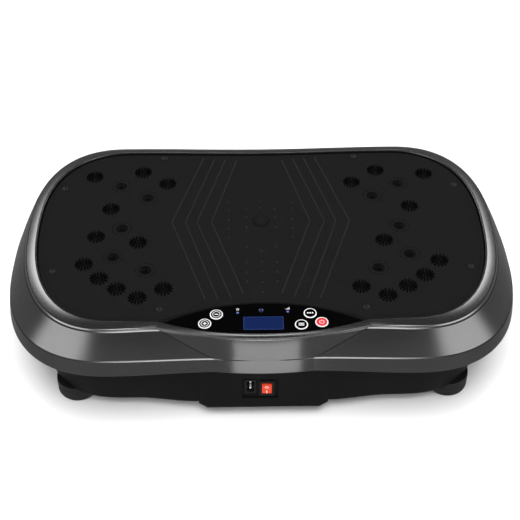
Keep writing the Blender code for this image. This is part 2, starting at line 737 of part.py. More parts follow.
PANEL_FACE_Y = BOX_FRONT_Y + TUB_WALL + TOUCH_GAP
INLET_FACE_Y = PANEL_FACE_Y - INLET_PROUD
SOCKET_FLOOR_Y = INLET_FACE_Y + SOCKET_DEPTH
BEZEL_BACK_Y = PANEL_FACE_Y - TOUCH_GAP
BEZEL_FACE_Y = BEZEL_BACK_Y - SWITCH_BEZEL_THICKNESS
ROCKER_AXIS = (SWITCH_X, BEZEL_FACE_Y + ROCKER_AXIS_BACK, SWITCH_Z)


def make_power_panel(finish):
    width, height = POWER_PANEL_SIZE
    size = (width + 2 * POWER_PANEL_FLANGE, height + 2 * POWER_PANEL_FLANGE)
    back = PANEL_FACE_Y + POWER_PANEL_THICKNESS
    plate = rectangle((POWER_PANEL_X, POWER_PANEL_Z), size)
    panel = add_object("power_panel", prism(plate, PANEL_FACE_Y, back, "Y"), finish)
    for name, place, size in (
        ("inlet_window", (INLET_X, INLET_Z), INLET_SIZE),
        ("switch_window", (SWITCH_X, SWITCH_Z), SWITCH_BODY),
    ):
        hole = rectangle(place, [side + 2 * TOUCH_GAP for side in size])
        cut(panel, name, prism(hole, PANEL_FACE_Y - OVERRUN, back + OVERRUN, "Y"))


def make_power_inlet(plastic, brass):
    body = rectangle((INLET_X, INLET_Z), INLET_SIZE)
    back = INLET_FACE_Y + INLET_LENGTH
    inlet = add_object("power_inlet", prism(body, INLET_FACE_Y, back, "Y"), plastic)
    round_edges(inlet, INLET_ROUNDING)
    mouth = INLET_FACE_Y - OVERRUN
    waist = rectangle((INLET_X, INLET_Z), (SOCKET_WAIST, PIN_PITCH))
    cut(inlet, "socket_waist", prism(waist, mouth, SOCKET_FLOOR_Y, "Y"))
    for name, side in (("lower", -1), ("upper", 1)):
        centre = (INLET_X, 0, INLET_Z + side * PIN_PITCH / 2)
        cut(inlet, f"socket_{name}", rod(SOCKET_RADIUS, mouth, SOCKET_FLOOR_Y, centre, "Y"))
        seat = SOCKET_FLOOR_Y + PIN_SEAT
        hole = rod(PIN_RADIUS + TOUCH_GAP, SOCKET_FLOOR_Y - OVERRUN, seat, centre, "Y", SMALL_SEGMENTS)
        cut(inlet, f"pin_hole_{name}", hole)
        pin = rod(PIN_RADIUS, SOCKET_FLOOR_Y - PIN_LENGTH, seat - TOUCH_GAP, centre, "Y", TINY_SEGMENTS)
        add_object(f"inlet_pin_{name}", pin, brass, (INLET_X, SOCKET_FLOOR_Y, centre[2]))


def make_switch(plastic, red):
    bezel = rectangle((SWITCH_X, SWITCH_Z), SWITCH_BEZEL)
    switch = add_object("switch_body", prism(bezel, BEZEL_FACE_Y, BEZEL_BACK_Y, "Y"), plastic)
    body = rectangle((SWITCH_X, SWITCH_Z), SWITCH_BODY)
    back = BEZEL_BACK_Y + SWITCH_BODY_LENGTH
    join(switch, "switch_core", prism(body, (BEZEL_FACE_Y + BEZEL_BACK_Y) / 2, back, "Y"))
    size = (ROCKER_WIDTH + 2 * ROCKER_GAP, 2 * (ROCKER_RADIUS + ROCKER_GAP))
    well = rectangle((SWITCH_X, SWITCH_Z), size)
    cut(switch, "rocker_well", prism(well, BEZEL_FACE_Y - OVERRUN, BEZEL_FACE_Y + ROCKER_WELL, "Y"))

    def rim_point(angle):
        return (-ROCKER_RADIUS * math.cos(angle), ROCKER_RADIUS * math.sin(angle))

    back_angle = math.pi - ROCKER_SPREAD
    steps = ROCKER_STEPS
    profile = [(-ROCKER_VALLEY, 0)]
    for step in range(steps + 1):
        profile.append(rim_point(ROCKER_SPREAD + (back_angle - ROCKER_SPREAD) * step / steps))
    for step in range(steps + 1):
        profile.append(rim_point(-back_angle + (back_angle - ROCKER_SPREAD) * step / steps))
    turn = Matrix.Rotation(ROCKER_REST, 2)
    centre = Vector(ROCKER_AXIS[1:])
    side = [tuple(centre + turn @ Vector(point)) for point in profile]
    low = SWITCH_X - ROCKER_WIDTH / 2
    rocker = prism(side, low, low + ROCKER_WIDTH, "X")
    add_object("rocker_button", rocker, red, ROCKER_AXIS)


# ---------------------------------------------------------------- chassis and pivots

def make_chassis(steel):
    half = TUB_FLOOR_INSIDE - CHASSIS_SIDE_GAP
    depth = CHASSIS_HALF_DEPTH
    plate = block((-half, -depth, CHASSIS_BOTTOM), (half, depth, CHASSIS_TOP))
    chassis = add_object("chassis_frame", plate, steel)
    lip_top = CHASSIS_BOTTOM + CHASSIS_LIP
    for name, side in (("front", -1), ("rear", 1)):
        ends = sorted((side * depth, side * (depth - CHASSIS_THICKNESS)))
        lip = block((-half, ends[0], CHASSIS_BOTTOM), (half, ends[1], lip_top))
        join(chassis, f"chassis_lip_{name}", lip)


def bearing_block(name, x, y, height, width, bore, finish):
    """An upright block that holds a bearing, rounded over its bore."""
    crown = width / 2
    top = height + bore + BLOCK_CAP
    corner = min(crown, top - height)
    profile = [(x + crown, ON_CHASSIS), (x + crown, top - corner / 2), (x + crown - corner / 2, top)]
    profile += [(x - crown + corner / 2, top), (x - crown, top - corner / 2), (x - crown, ON_CHASSIS)]
    low, high = y - BLOCK_THICKNESS / 2, y + BLOCK_THICKNESS / 2
    obj = add_object(name, prism(profile, low, high, "Y"), finish)
    hole = rod(bore + TOUCH_GAP, low - OVERRUN, high + OVERRUN, (x, 0, height), "Y")
    cut(obj, f"{name}_bore", hole)


def bearing(name, x, y, height, inner, outer, finish):
    low, high = y - BEARING_WIDTH / 2, y + BEARING_WIDTH / 2
    race = tube(inner + TOUCH_GAP, outer, low, high, (x, 0, height), "Y")
    add_object(name, race, finish, (x, y, height))


def make_pivots(alloy, steel):
    for name, side in (("front", -1), ("rear", 1)):
        y = side * PIVOT_BLOCK_Y
        bore = PIVOT_BEARING_RADIUS
        bearing_block(f"pivot_block_{name}", 0, y, AXIS_HEIGHT, PIVOT_BLOCK_WIDTH, bore, alloy)
        bearing(f"pivot_bearing_{name}", 0, y, AXIS_HEIGHT, PIVOT_SHAFT_RADIUS, bore, steel)
    end = HANGER_Y + HANGER_THICKNESS / 2 + SHAFT_OVERHANG
    shaft = rod(PIVOT_SHAFT_RADIUS, -end, end, (0, 0, AXIS_HEIGHT), "Y")
    add_object("pivot_shaft", shaft, steel, (0, 0, AXIS_HEIGHT))


# ---------------------------------------------------------------- motor, belt and crank

CRANK_AXIS = (CRANK_X, 0, CRANK_HEIGHT)
MOTOR_AXIS = (MOTOR_X, 0, MOTOR_HEIGHT)
PULLEY_FRONT_Y = PULLEY_BACK_Y - PULLEY_WIDTH
BRACKET_BACK_Y = MOTOR_FRONT_Y - TOUCH_GAP
BRACKET_FRONT_Y = BRACKET_BACK_Y - MOTOR_BRACKET_THICKNESS


def make_motor(can_finish, steel):
    bore = MOTOR_SHAFT_RADIUS + TOUCH_GAP
    back = MOTOR_BACK_Y
    boss_front = BRACKET_FRONT_Y - BOSS_PROUD
    well = MOTOR_FRONT_Y + MOTOR_SHAFT_WELL
    edge = MOTOR_EDGE
    profile = (
        (0, well), (bore, well), (bore, boss_front), (MOTOR_BOSS_RADIUS, boss_front),
        (MOTOR_BOSS_RADIUS, MOTOR_FRONT_Y), (MOTOR_RADIUS - edge, MOTOR_FRONT_Y),
        (MOTOR_RADIUS, MOTOR_FRONT_Y + edge), (MOTOR_RADIUS, back - edge),
        (MOTOR_RADIUS - edge, back), (0, back),
    )
    add_object("motor_housing", turned(profile, MOTOR_AXIS, "Y"), can_finish, MOTOR_AXIS)
    half = MOTOR_RADIUS + MOTOR_BRACKET_MARGIN
    low = (MOTOR_X - half, BRACKET_FRONT_Y, ON_CHASSIS)
    high = (MOTOR_X + half, BRACKET_BACK_Y, MOTOR_HEIGHT + half)
    bracket = add_object("motor_bracket", block(low, high), steel)
    foot_top = ON_CHASSIS + MOTOR_BRACKET_THICKNESS
    foot_low = (MOTOR_X - half, BRACKET_BACK_Y - MOTOR_BRACKET_FOOT, ON_CHASSIS)
    join(bracket, "bracket_foot", block(foot_low, (MOTOR_X + half, BRACKET_BACK_Y, foot_top)))
    hole = MOTOR_BOSS_RADIUS + TOUCH_GAP
    ends = (BRACKET_FRONT_Y - OVERRUN, BRACKET_BACK_Y + OVERRUN)
    cut(bracket, "boss_hole", rod(hole, *ends, MOTOR_AXIS, "Y"))
    shaft = rod(MOTOR_SHAFT_RADIUS, PULLEY_FRONT_Y - SHAFT_END, well - TOUCH_GAP, MOTOR_AXIS, "Y")
    add_object("motor_shaft", shaft, steel, MOTOR_AXIS)


def make_pulley(name, radius, bore, axis, finish):
    """A flat-belt pulley with a flange at each end."""
    lip = radius + PULLEY_FLANGE
    a, d = PULLEY_FRONT_Y, PULLEY_BACK_Y
    b, c = a + PULLEY_FLANGE_THICKNESS, d - PULLEY_FLANGE_THICKNESS
    inner = bore + TOUCH_GAP
    profile = ((inner, a), (lip, a), (lip, b), (radius, b), (radius, c), (lip, c), (lip, d), (inner, d))
    add_object(name, turned(profile, axis, "Y"), finish, axis)


def belt_path(extra):
    """The loop round both pulleys at a distance from their grooves."""
    dx, dz = MOTOR_X - CRANK_X, MOTOR_HEIGHT - CRANK_HEIGHT
    slope = math.atan2(dz, dx)
    spread = math.acos((DRIVEN_PULLEY_RADIUS - MOTOR_PULLEY_RADIUS) / math.hypot(dx, dz))
    steps = BELT_STEPS
    points = []
    wrap = 2 * (math.pi - spread)
    for step in range(2 * steps + 1):
        angle = slope + spread + wrap * step / (2 * steps)
        radius = DRIVEN_PULLEY_RADIUS + extra
        points.append((CRANK_X + radius * math.cos(angle), CRANK_HEIGHT + radius * math.sin(angle)))
    for step in range(steps + 1):
        angle = slope - spread + 2 * spread * step / steps
        radius = MOTOR_PULLEY_RADIUS + extra
        points.append((MOTOR_X + radius * math.cos(angle), MOTOR_HEIGHT + radius * math.sin(angle)))
    return points


def make_belt(rubber):
    low = (PULLEY_FRONT_Y + PULLEY_BACK_Y - BELT_WIDTH) / 2
    high = low + BELT_WIDTH
    rings = []
    for extra, y in ((TOUCH_GAP, low), (TOUCH_GAP + BELT_THICKNESS, low)):
        rings.append([(x, y, z) for x, z in belt_path(extra)])
    for extra, y in ((TOUCH_GAP + BELT_THICKNESS, high), (TOUCH_GAP, high)):
        rings.append([(x, y, z) for x, z in belt_path(extra)])
    add_object("drive_belt", skin(rings, hollow=True), rubber)


def make_crank(steel, alloy):
    front = PULLEY_FRONT_Y - SHAFT_END
    back = REAR_CRANK_BLOCK_Y + BLOCK_THICKNESS / 2 + CRANK_END
    shaft = add_object("crank_shaft", rod(CRANK_RADIUS, front, back, CRANK_AXIS, "Y"), steel, CRANK_AXIS)
    centre = (CRANK_X + CRANK_THROW, 0, CRANK_HEIGHT)
    half = ROD_WIDTH / 2
    join(shaft, "eccentric", rod(ECCENTRIC_RADIUS, ROD_Y - half, ROD_Y + half, centre, "Y"))
    for name, y in (("front", FRONT_CRANK_BLOCK_Y), ("rear", REAR_CRANK_BLOCK_Y)):
        bore = CRANK_BEARING_RADIUS
        width = CRANK_BLOCK_WIDTH
        bearing_block(f"crank_block_{name}", CRANK_X, y, CRANK_HEIGHT, width, bore, alloy)
        bearing(f"crank_bearing_{name}", CRANK_X, y, CRANK_HEIGHT, CRANK_RADIUS, bore, steel)


def make_connecting_rod(steel):
    x, z = CRANK_X + CRANK_THROW, CRANK_HEIGHT
    low, high = ROD_Y - ROD_WIDTH / 2, ROD_Y + ROD_WIDTH / 2
    big = ECCENTRIC_RADIUS + TOUCH_GAP
    top = z + ROD_LENGTH
    wide = ROD_SHANK_WIDTH / 2
    shape = rod(big + ROD_WALL, low, high, (x, 0, z), "Y")
    link = add_object("connecting_rod", shape, steel, (x, ROD_Y, z))
    join(link, "rod_small_end", rod(WRIST_BORE + WRIST_WALL, low, high, (x, 0, top), "Y"))
    join(link, "rod_shank", block((x - wide, low, z + big), (x + wide, high, top - WRIST_BORE)))
    cut(link, "rod_big_bore", rod(big, low - OVERRUN, high + OVERRUN, (x, 0, z), "Y"))
    cut(link, "rod_small_bore", rod(WRIST_BORE, low - OVERRUN, high + OVERRUN, (x, 0, top), "Y"))


# ---------------------------------------------------------------- electronics in the tub

def make_power_board(green, copper):
    width, depth = POWER_BOARD_SIZE
    x = -(TUB_FLOOR_INSIDE - CHASSIS_SIDE_GAP - POWER_BOARD_GAP - width / 2)
    bottom = ON_CHASSIS + POWER_BOARD_LIFT
    top = bottom + POWER_BOARD_THICKNESS
    plate = block((x - width / 2, -depth / 2, bottom), (x + width / 2, depth / 2, top))
    board = add_object("power_board", plate, green)
    inside = STANDOFF_INSET
    for index, (sx, sy) in enumerate(((-1, -1), (1, -1), (-1, 1), (1, 1))):
        place = (x + sx * (width / 2 - inside), sy * (depth / 2 - inside), 0)
        leg = rod(STANDOFF_RADIUS, ON_CHASSIS, bottom + BOARD_SINK, place, segments=TINY_SEGMENTS)
        join(board, f"standoff_{index}", leg)
    low = top - BOARD_SINK
    parts = []
    for size, place in ((TRANSFORMER_SIZE, TRANSFORMER_PLACE), (HEATSINK_SIZE, HEATSINK_PLACE)):
        corners = rectangle((x + place[0], place[1]), size[:2])
        parts.append(block((*corners[0], low), (*corners[2], top + size[2])))
    for across, along in CAPACITOR_PLACES:
        centre = (x + across, along, 0)
        parts.append(rod(CAPACITOR_RADIUS, low, top + CAPACITOR_HEIGHT, centre, segments=TINY_SEGMENTS))
    join(board, "board_parts", combined(parts))
    middle = (bottom + top) / 2
    loom_start = Vector((x + width / 2 + TOUCH_GAP, LOOM_START_Y, middle))
    make_loom(loom_start, copper)


def make_loom(start, finish):
    """The lead along the chassis from the power board to the side of the motor."""
    floor = ON_CHASSIS + LOOM_RADIUS + LOOM_LIFT
    y = MOTOR_BACK_Y - LOOM_MOTOR_GAP
    end = Vector((MOTOR_X - MOTOR_RADIUS - TOUCH_GAP, y, MOTOR_HEIGHT))
    clear = 12 * MM
    corners = (
        start,
        start + Vector((clear / 2, 0, 0)),
        Vector((start.x + 2 * clear, start.y + 8 * MM, floor)),
        Vector((start.x + 5 * clear, y, floor)),
        Vector((0, y, floor)),
        Vector((end.x - 3.4 * clear, y, floor)),
        Vector((end.x - 1.2 * clear, y, floor + 4 * MM)),
        Vector((end.x - 0.9 * clear, y, (floor + end.z) / 2)),
        end - Vector((clear / 2, 0, 0)),
        end,
    )
    points = smooth_route(corners, LOOM_STEPS)
    curve = bpy.data.curves.new("wiring_loom", "CURVE")
    curve.dimensions = "3D"
    curve.bevel_depth = LOOM_RADIUS
    curve.bevel_resolution = 2
    curve.use_fill_caps = True
    spline = curve.splines.new("POLY")
    spline.points.add(len(points) - 1)
    for point, place in zip(spline.points, points):
        point.co = (*place, 1)
    curve.materials.append(finish)
    obj = bpy.data.objects.new("wiring_loom", curve)
    bpy.context.scene.collection.objects.link(obj)


def smooth_route(corners, steps):
    """Points on a smooth curve through the corners, with tangents from their neighbours."""
    slopes = []
    for index in range(len(corners)):
        before = corners[max(index - 1, 0)]
        after = corners[min(index + 1, len(corners) - 1)]
        slopes.append((after - before) / 2)
    points = []
    for index in range(len(corners) - 1):
        a, b = corners[index], corners[index + 1]
        reach = (b - a).length
        m, n = slopes[index].normalized() * reach, slopes[index + 1].normalized() * reach
        for step in range(steps):
            t = step / steps
            point = a * (2 * t**3 - 3 * t * t + 1) + m * (t**3 - 2 * t * t + t)
            points.append(point + b * (3 * t * t - 2 * t**3) + n * (t**3 - t * t))
    return points + [corners[-1]]


# ---------------------------------------------------------------- platform

def make_top_shell(finish):
    share = (RIM_HEIGHT - SHELF_BOTTOM) / (RIM_HEIGHT - CREASE_HEIGHT)
    under = between(RIM, CREASE, share)
    rings = (
        ring(OPENING, SHELF_TOP),
        ring(OPENING, RIM_HEIGHT - RIM_ARRIS, PANEL_DIP),
        ring(between(OPENING, RIM, 0.25), RIM_HEIGHT, PANEL_DIP),
        ring(inset(RIM, 0.7 * RIM_FILLET), RIM_HEIGHT, PANEL_DIP),
        ring(RIM, RIM_HEIGHT - RIM_FILLET, PANEL_DIP),
        ring(CREASE, CREASE_HEIGHT),
        ring(HEM, HEM_HEIGHT),
        ring(inset(HEM, SHELL_WALL), HEM_HEIGHT),
        ring(inset(CREASE, SHELL_WALL), CREASE_HEIGHT),
        ring(inset(under, SHELL_WALL), SHELF_BOTTOM),
        ring(inset(OPENING, SHELF_WIDTH), SHELF_BOTTOM),
        ring(inset(OPENING, SHELF_WIDTH), SHELF_TOP),
    )
    add_object("top_shell", skin(rings, hollow=True), finish, (0, 0, AXIS_HEIGHT))


def screw_holes(low, high):
    radius = MAT_SCREW_RADIUS + SCREW_GAP
    return combined(
        rod(radius, low, high, (x, y, 0), segments=TINY_SEGMENTS) for _, x, y in screw_places()
    )


def make_deck_board(finish):
    plate = skin([ring(DECK, DECK_BOTTOM), ring(DECK, DECK_TOP)])
    deck = add_object("deck_board", plate, finish, (0, 0, AXIS_HEIGHT))
    cut(deck, "deck_screw_holes", screw_holes(DECK_BOTTOM - OVERRUN, DECK_TOP + OVERRUN))


def pad_places():
    for across, along in PAD_PLACES:
        for side in (-1, 1):
            yield side * across * MAT.half_width, along * MAT.rear
    yield LEFT_PAD_PLACE[0] * MAT.half_width, LEFT_PAD_PLACE[1] * MAT.rear


def make_rubber_mat(finish):
    rings = [
        ring(MAT, MAT_BOTTOM),
        ring(MAT, MAT_TOP - MAT_BORDER_DROP),
        ring(inset(MAT, MAT_BORDER), MAT_TOP),
    ]
    mat = add_object("rubber_mat", skin(rings), finish, (0, 0, AXIS_HEIGHT))
    sink = MAT_TOP - PAD_SINK
    pads = []
    for x, y in pad_places():
        pads.append(rod(PAD_RADIUS, sink, MAT_TOP + PAD_HEIGHT, (x, y, 0), segments=TINY_SEGMENTS))
    crown = DOME_RADIUS / 2
    top = MAT_TOP + DOME_HEIGHT
    dome = ((0, sink), (DOME_RADIUS, sink), (DOME_RADIUS, MAT_TOP + DOME_EDGE), (crown, top), (0, top))
    pads.append(turned(dome, (0, DOME_Y, 0), segments=SMALL_SEGMENTS))
    join(mat, "mat_pads", combined(pads))
    cut(mat, "mat_screw_holes", screw_holes(MAT_BOTTOM - OVERRUN, MAT_TOP + OVERRUN))


def make_mat_screws(finish):
    seat = MAT_TOP + TOUCH_GAP
    top = seat + MAT_SCREW_DOME
    tip = DECK_BOTTOM + MAT_SCREW_SHORT
    radius, head = MAT_SCREW_RADIUS, MAT_SCREW_HEAD
    profile = [(0, tip), (radius, tip), (radius, seat), (head, seat), (0.6 * head, top), (0, top)]
    for name, x, y in screw_places():
        shape = turned(profile, (x, y, 0), segments=TINY_SEGMENTS)
        add_object(f"mat_screw_{name}", shape, finish, (x, y, seat))


def make_platform_frame(finish):
    outer = RAIL_Y + RAIL_WIDTH / 2
    half = front_corner_x(inset(OPENING, SHELF_WIDTH), outer) - RAIL_END_GAP
    wide = CROSS_WIDTH / 2
    step = FRAME_STEP
    low, high = FRAME_BOTTOM, FRAME_TOP
    centre = block((-wide, -HANGER_Y, low + step), (wide, HANGER_Y, high - step))
    frame = add_object("platform_frame", centre, finish, (0, 0, AXIS_HEIGHT))
    for name, side in (("front", -1), ("rear", 1)):
        y = side * RAIL_Y
        rail = block((-half, y - RAIL_WIDTH / 2, low), (half, y + RAIL_WIDTH / 2, high))
        join(frame, f"rail_{name}", rail)
        y = side * HANGER_Y
        bottom = AXIS_HEIGHT - 2 * PIVOT_SHAFT_RADIUS
        start = (-HANGER_WIDTH / 2, y - HANGER_THICKNESS / 2, bottom)
        hanger = block(start, (HANGER_WIDTH / 2, y + HANGER_THICKNESS / 2, high - 2 * step))
        join(frame, f"hanger_{name}", hanger)
    end = half - wide - step
    for name, x in (("left", -CRANK_X), ("right", CRANK_X), ("left_end", -end), ("right_end", end)):
        start = (x - wide, step - outer, low + step)
        join(frame, f"cross_{name}", block(start, (x + wide, outer - step, high - step)))
    for name, side in (("front", -1), ("rear", 1)):
        ends = sorted((ROD_Y + side * EAR_SPACE, ROD_Y + side * (EAR_SPACE + EAR_THICKNESS)))
        bottom = WRIST_HEIGHT - 2 * WRIST_PIN_RADIUS
        start = (CRANK_X - wide + step, ends[0], bottom)
        join(frame, f"ear_{name}", block(start, (CRANK_X + wide - step, ends[1], high - 2 * step)))
    over = HANGER_Y + HANGER_THICKNESS
    bore = PIVOT_SHAFT_RADIUS + TOUCH_GAP
    cut(frame, "hanger_bore", rod(bore, -over, over, (0, 0, AXIS_HEIGHT), "Y"))
    reach = EAR_SPACE + 2 * EAR_THICKNESS
    centre = (CRANK_X, 0, WRIST_HEIGHT)
    cut(frame, "wrist_bore", rod(WRIST_PIN_RADIUS + TOUCH_GAP, ROD_Y - reach, ROD_Y + reach, centre, "Y"))


def make_wrist_pin(steel):
    reach = EAR_SPACE + EAR_THICKNESS + WRIST_PIN_END
    centre = (CRANK_X, 0, WRIST_HEIGHT)
    pin = rod(WRIST_PIN_RADIUS, ROD_Y - reach, ROD_Y + reach, centre, "Y", SMALL_SEGMENTS)
    add_object("wrist_pin", pin, steel, (CRANK_X, ROD_Y, WRIST_HEIGHT))


# ---------------------------------------------------------------- control panel

TRAY_TOP = -LENS_THICKNESS - TOUCH_GAP
TRAY_BOTTOM = TRAY_TOP - TRAY_DEPTH
BOARD_BOTTOM = TRAY_BOTTOM + TRAY_FLOOR + TOUCH_GAP
BOARD_TOP = BOARD_BOTTOM + BOARD_THICKNESS


def panel_frame():
    """The tilted frame that the whole control panel is drawn in."""
    empty = bpy.data.objects.new("panel_frame", None)
    bpy.context.scene.collection.objects.link(empty)
    empty.location = (0, LENS_CENTRE_Y, LENS_TOP)
    empty.rotation_euler = (PANEL_TILT, 0, 0)
    return empty


def make_control_housing(panel, finish):
    tray = add_object(
        "control_housing", prism(lens_outline(TRAY_INSET), TRAY_BOTTOM, TRAY_TOP), finish, parent=panel
    )
    inside = lens_outline(TRAY_INSET + TRAY_WALL)
    cut(tray, "tray_hollow", prism(inside, TRAY_BOTTOM + TRAY_FLOOR, TRAY_TOP + OVERRUN), panel)


def make_control_lens(panel, finish):
    lens = add_object(
        "control_lens", prism(lens_outline(), -LENS_THICKNESS, 0), finish, parent=panel
    )
    low, high = -LENS_THICKNESS - OVERRUN, OVERRUN
    holes = []
    for place in BUTTON_PLACES.values():
        hole = rod(BUTTON_RADIUS + BUTTON_GAP, low, high, (*place, 0), segments=SMALL_SEGMENTS)
        holes.append(hole)
    for place in LED_PLACES.values():
        holes.append(rod(LED_RADIUS + BUTTON_GAP, low, high, (*place, 0), segments=TINY_SEGMENTS))
    holes.append(rod(IR_RADIUS + BUTTON_GAP, low, high, (*IR_PLACE, 0), segments=SMALL_SEGMENTS))
    size = [side + 2 * TOUCH_GAP for side in DISPLAY_SIZE]
    holes.append(prism(rectangle((0, DISPLAY_Y), size), low, high))
    cut(lens, "lens_holes", combined(holes), panel)


def make_control_board(panel, finish):
    board = add_object(
        "control_board", prism(lens_outline(BOARD_INSET), BOARD_BOTTOM, BOARD_TOP), finish, parent=panel
    )
    keys = []
    top = BOARD_TOP + KEY_SWITCH_HEIGHT
    for place in BUTTON_PLACES.values():
        keys.append(rod(KEY_SWITCH_RADIUS, BOARD_BOTTOM, top, (*place, 0), segments=TINY_SEGMENTS))
    join(board, "key_switches", combined(keys), panel)


def make_panel_parts(panel, glass, white, red, lamp):
    on_board = BOARD_TOP + TOUCH_GAP
    window = prism(rectangle((0, DISPLAY_Y), DISPLAY_SIZE), on_board, -DISPLAY_SUNK)
    add_object("display_window", window, glass, parent=panel)
    for name, (x, y) in LED_PLACES.items():
        shape = rod(LED_RADIUS, on_board, LED_PROUD, (x, y, 0), segments=TINY_SEGMENTS)
        add_object(name, shape, lamp, (x, y, 0), panel)
    x, y = IR_PLACE
    dome = ((0, on_board), (IR_RADIUS, on_board), (IR_RADIUS, 0), (IR_RADIUS / 2, IR_DOME), (0, IR_DOME))
    add_object("ir_window", turned(dome, (x, y, 0), segments=SMALL_SEGMENTS), glass, (x, y, 0), panel)
    flange_top = -LENS_THICKNESS - TOUCH_GAP
    flange_low = flange_top - BUTTON_FLANGE_THICKNESS
    wide = BUTTON_RADIUS + BUTTON_FLANGE
    edge = BUTTON_EDGE
    profile = (
        (0, flange_low), (wide, flange_low), (wide, flange_top), (BUTTON_RADIUS, flange_top),
        (BUTTON_RADIUS, BUTTON_PROUD - edge), (BUTTON_RADIUS - edge, BUTTON_PROUD), (0, BUTTON_PROUD),
    )
    for name, (x, y) in BUTTON_PLACES.items():
        finish = red if name == "button_power" else white
        shape = turned(profile, (x, y, 0), segments=SMALL_SEGMENTS)
        add_object(name, shape, finish, (x, y, 0), panel)


# ---------------------------------------------------------------- the whole plate

def main():
    clear_scene()
    black_plastic = material("black_plastic", (0.022, 0.023, 0.025), 0.5)
    dark_plastic = material("dark_plastic", (0.012, 0.012, 0.013), 0.4)
    shell_paint = material("shell_paint", (0.17, 0.175, 0.18), 0.3, 0.8)
    mat_rubber = material("mat_rubber", (0.016, 0.016, 0.017), 0.75)
    foot_rubber = material("foot_rubber", (0.014, 0.014, 0.014), 0.7)
    gloss_black = material("gloss_black", (0.004, 0.004, 0.005), 0.08)
    display_blue = material("display_blue", (0.01, 0.03, 0.16), 0.15)
    key_white = material("key_white", (0.8, 0.8, 0.8), 0.35)
    key_red = material("key_red", (0.7, 0.03, 0.04), 0.35)
    rocker_red = material("rocker_red", (0.8, 0.09, 0.02), 0.3)
    lamp_white = material("lamp_white", (0.6, 0.65, 0.8), 0.2)
    steel = material("steel", (0.55, 0.56, 0.57), 0.35, 1.0)
    painted_steel = material("painted_steel", (0.03, 0.03, 0.035), 0.45, 0.4)
    alloy = material("alloy", (0.5, 0.51, 0.53), 0.5, 1.0)
    brass = material("brass", (0.75, 0.6, 0.3), 0.3, 1.0)
    deck_wood = material("deck_wood", (0.35, 0.22, 0.11), 0.7)
    board_green = material("board_green", (0.02, 0.16, 0.07), 0.5)

    make_base_housing(black_plastic)
    make_feet(foot_rubber, steel)
    make_power_panel(black_plastic)
    make_power_inlet(dark_plastic, brass)
    make_switch(dark_plastic, rocker_red)
    make_chassis(painted_steel)
    make_pivots(alloy, steel)
    make_motor(steel, painted_steel)
    make_pulley("motor_pulley", MOTOR_PULLEY_RADIUS, MOTOR_SHAFT_RADIUS, MOTOR_AXIS, alloy)
    make_pulley("driven_pulley", DRIVEN_PULLEY_RADIUS, CRANK_RADIUS, CRANK_AXIS, alloy)
    make_belt(foot_rubber)
    make_crank(steel, alloy)
    make_connecting_rod(steel)
    make_power_board(board_green, dark_plastic)

    make_top_shell(shell_paint)
    make_deck_board(deck_wood)
    make_rubber_mat(mat_rubber)
    make_mat_screws(steel)
    make_platform_frame(painted_steel)
    make_wrist_pin(steel)
    panel = panel_frame()
    make_control_housing(panel, dark_plastic)
    make_control_lens(panel, gloss_black)
    make_control_board(panel, board_green)
    make_panel_parts(panel, display_blue, key_white, key_red, lamp_white)


main()
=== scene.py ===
"""Vibration plate: its finished surfaces round the fixed frame. +X is the user's right, -Y the front."""
import math
from collections import namedtuple

import bmesh
import bpy
from mathutils import Matrix, Vector


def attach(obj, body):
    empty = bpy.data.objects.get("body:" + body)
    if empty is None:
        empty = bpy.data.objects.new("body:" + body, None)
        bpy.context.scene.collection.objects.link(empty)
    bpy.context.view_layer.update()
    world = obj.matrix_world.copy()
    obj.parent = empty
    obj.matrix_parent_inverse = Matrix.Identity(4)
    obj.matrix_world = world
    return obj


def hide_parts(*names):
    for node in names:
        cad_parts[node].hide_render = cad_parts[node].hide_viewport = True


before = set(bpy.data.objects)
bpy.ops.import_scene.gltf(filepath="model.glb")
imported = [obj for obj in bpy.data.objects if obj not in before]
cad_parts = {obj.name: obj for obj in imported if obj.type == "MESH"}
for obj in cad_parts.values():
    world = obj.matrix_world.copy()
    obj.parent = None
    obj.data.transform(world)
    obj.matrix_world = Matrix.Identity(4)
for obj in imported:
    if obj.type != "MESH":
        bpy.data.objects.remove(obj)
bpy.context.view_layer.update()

MM = 0.001
REAR_STEPS, CORNER_STEPS, FRONT_STEPS, PANEL_STEPS = 20, 30, 16, 28
RIM_HEIGHT, CREASE_HEIGHT, HEM_HEIGHT = 120.7, 89.0, 72.0
PANEL_DIP = 2.2
MAT_TOP = 118.7
FLOOR = 14.8
TUB_HEIGHT = 82.0

Outline = namedtuple(
    "Outline", "half_width corner_x rear rear_waist front notch_x notch_y centre roundness side_y"
)
Level = namedtuple("Level", "outline height dip groove finish")


# ---------------------------------------------------------------- outlines (mm)

def inset(outline, distance):
    """The same outline drawn in by a distance on every side."""
    return outline._replace(
        half_width=outline.half_width - distance,
        rear=outline.rear - distance,
        rear_waist=outline.rear_waist - distance,
        front=outline.front - distance,
        notch_y=outline.notch_y - distance,
        centre=outline.centre - distance,
    )


def between(first, second, share):
    """The outline that lies a share of the way from one to another."""
    return Outline(*(a + (b - a) * share for a, b in zip(first, second)))


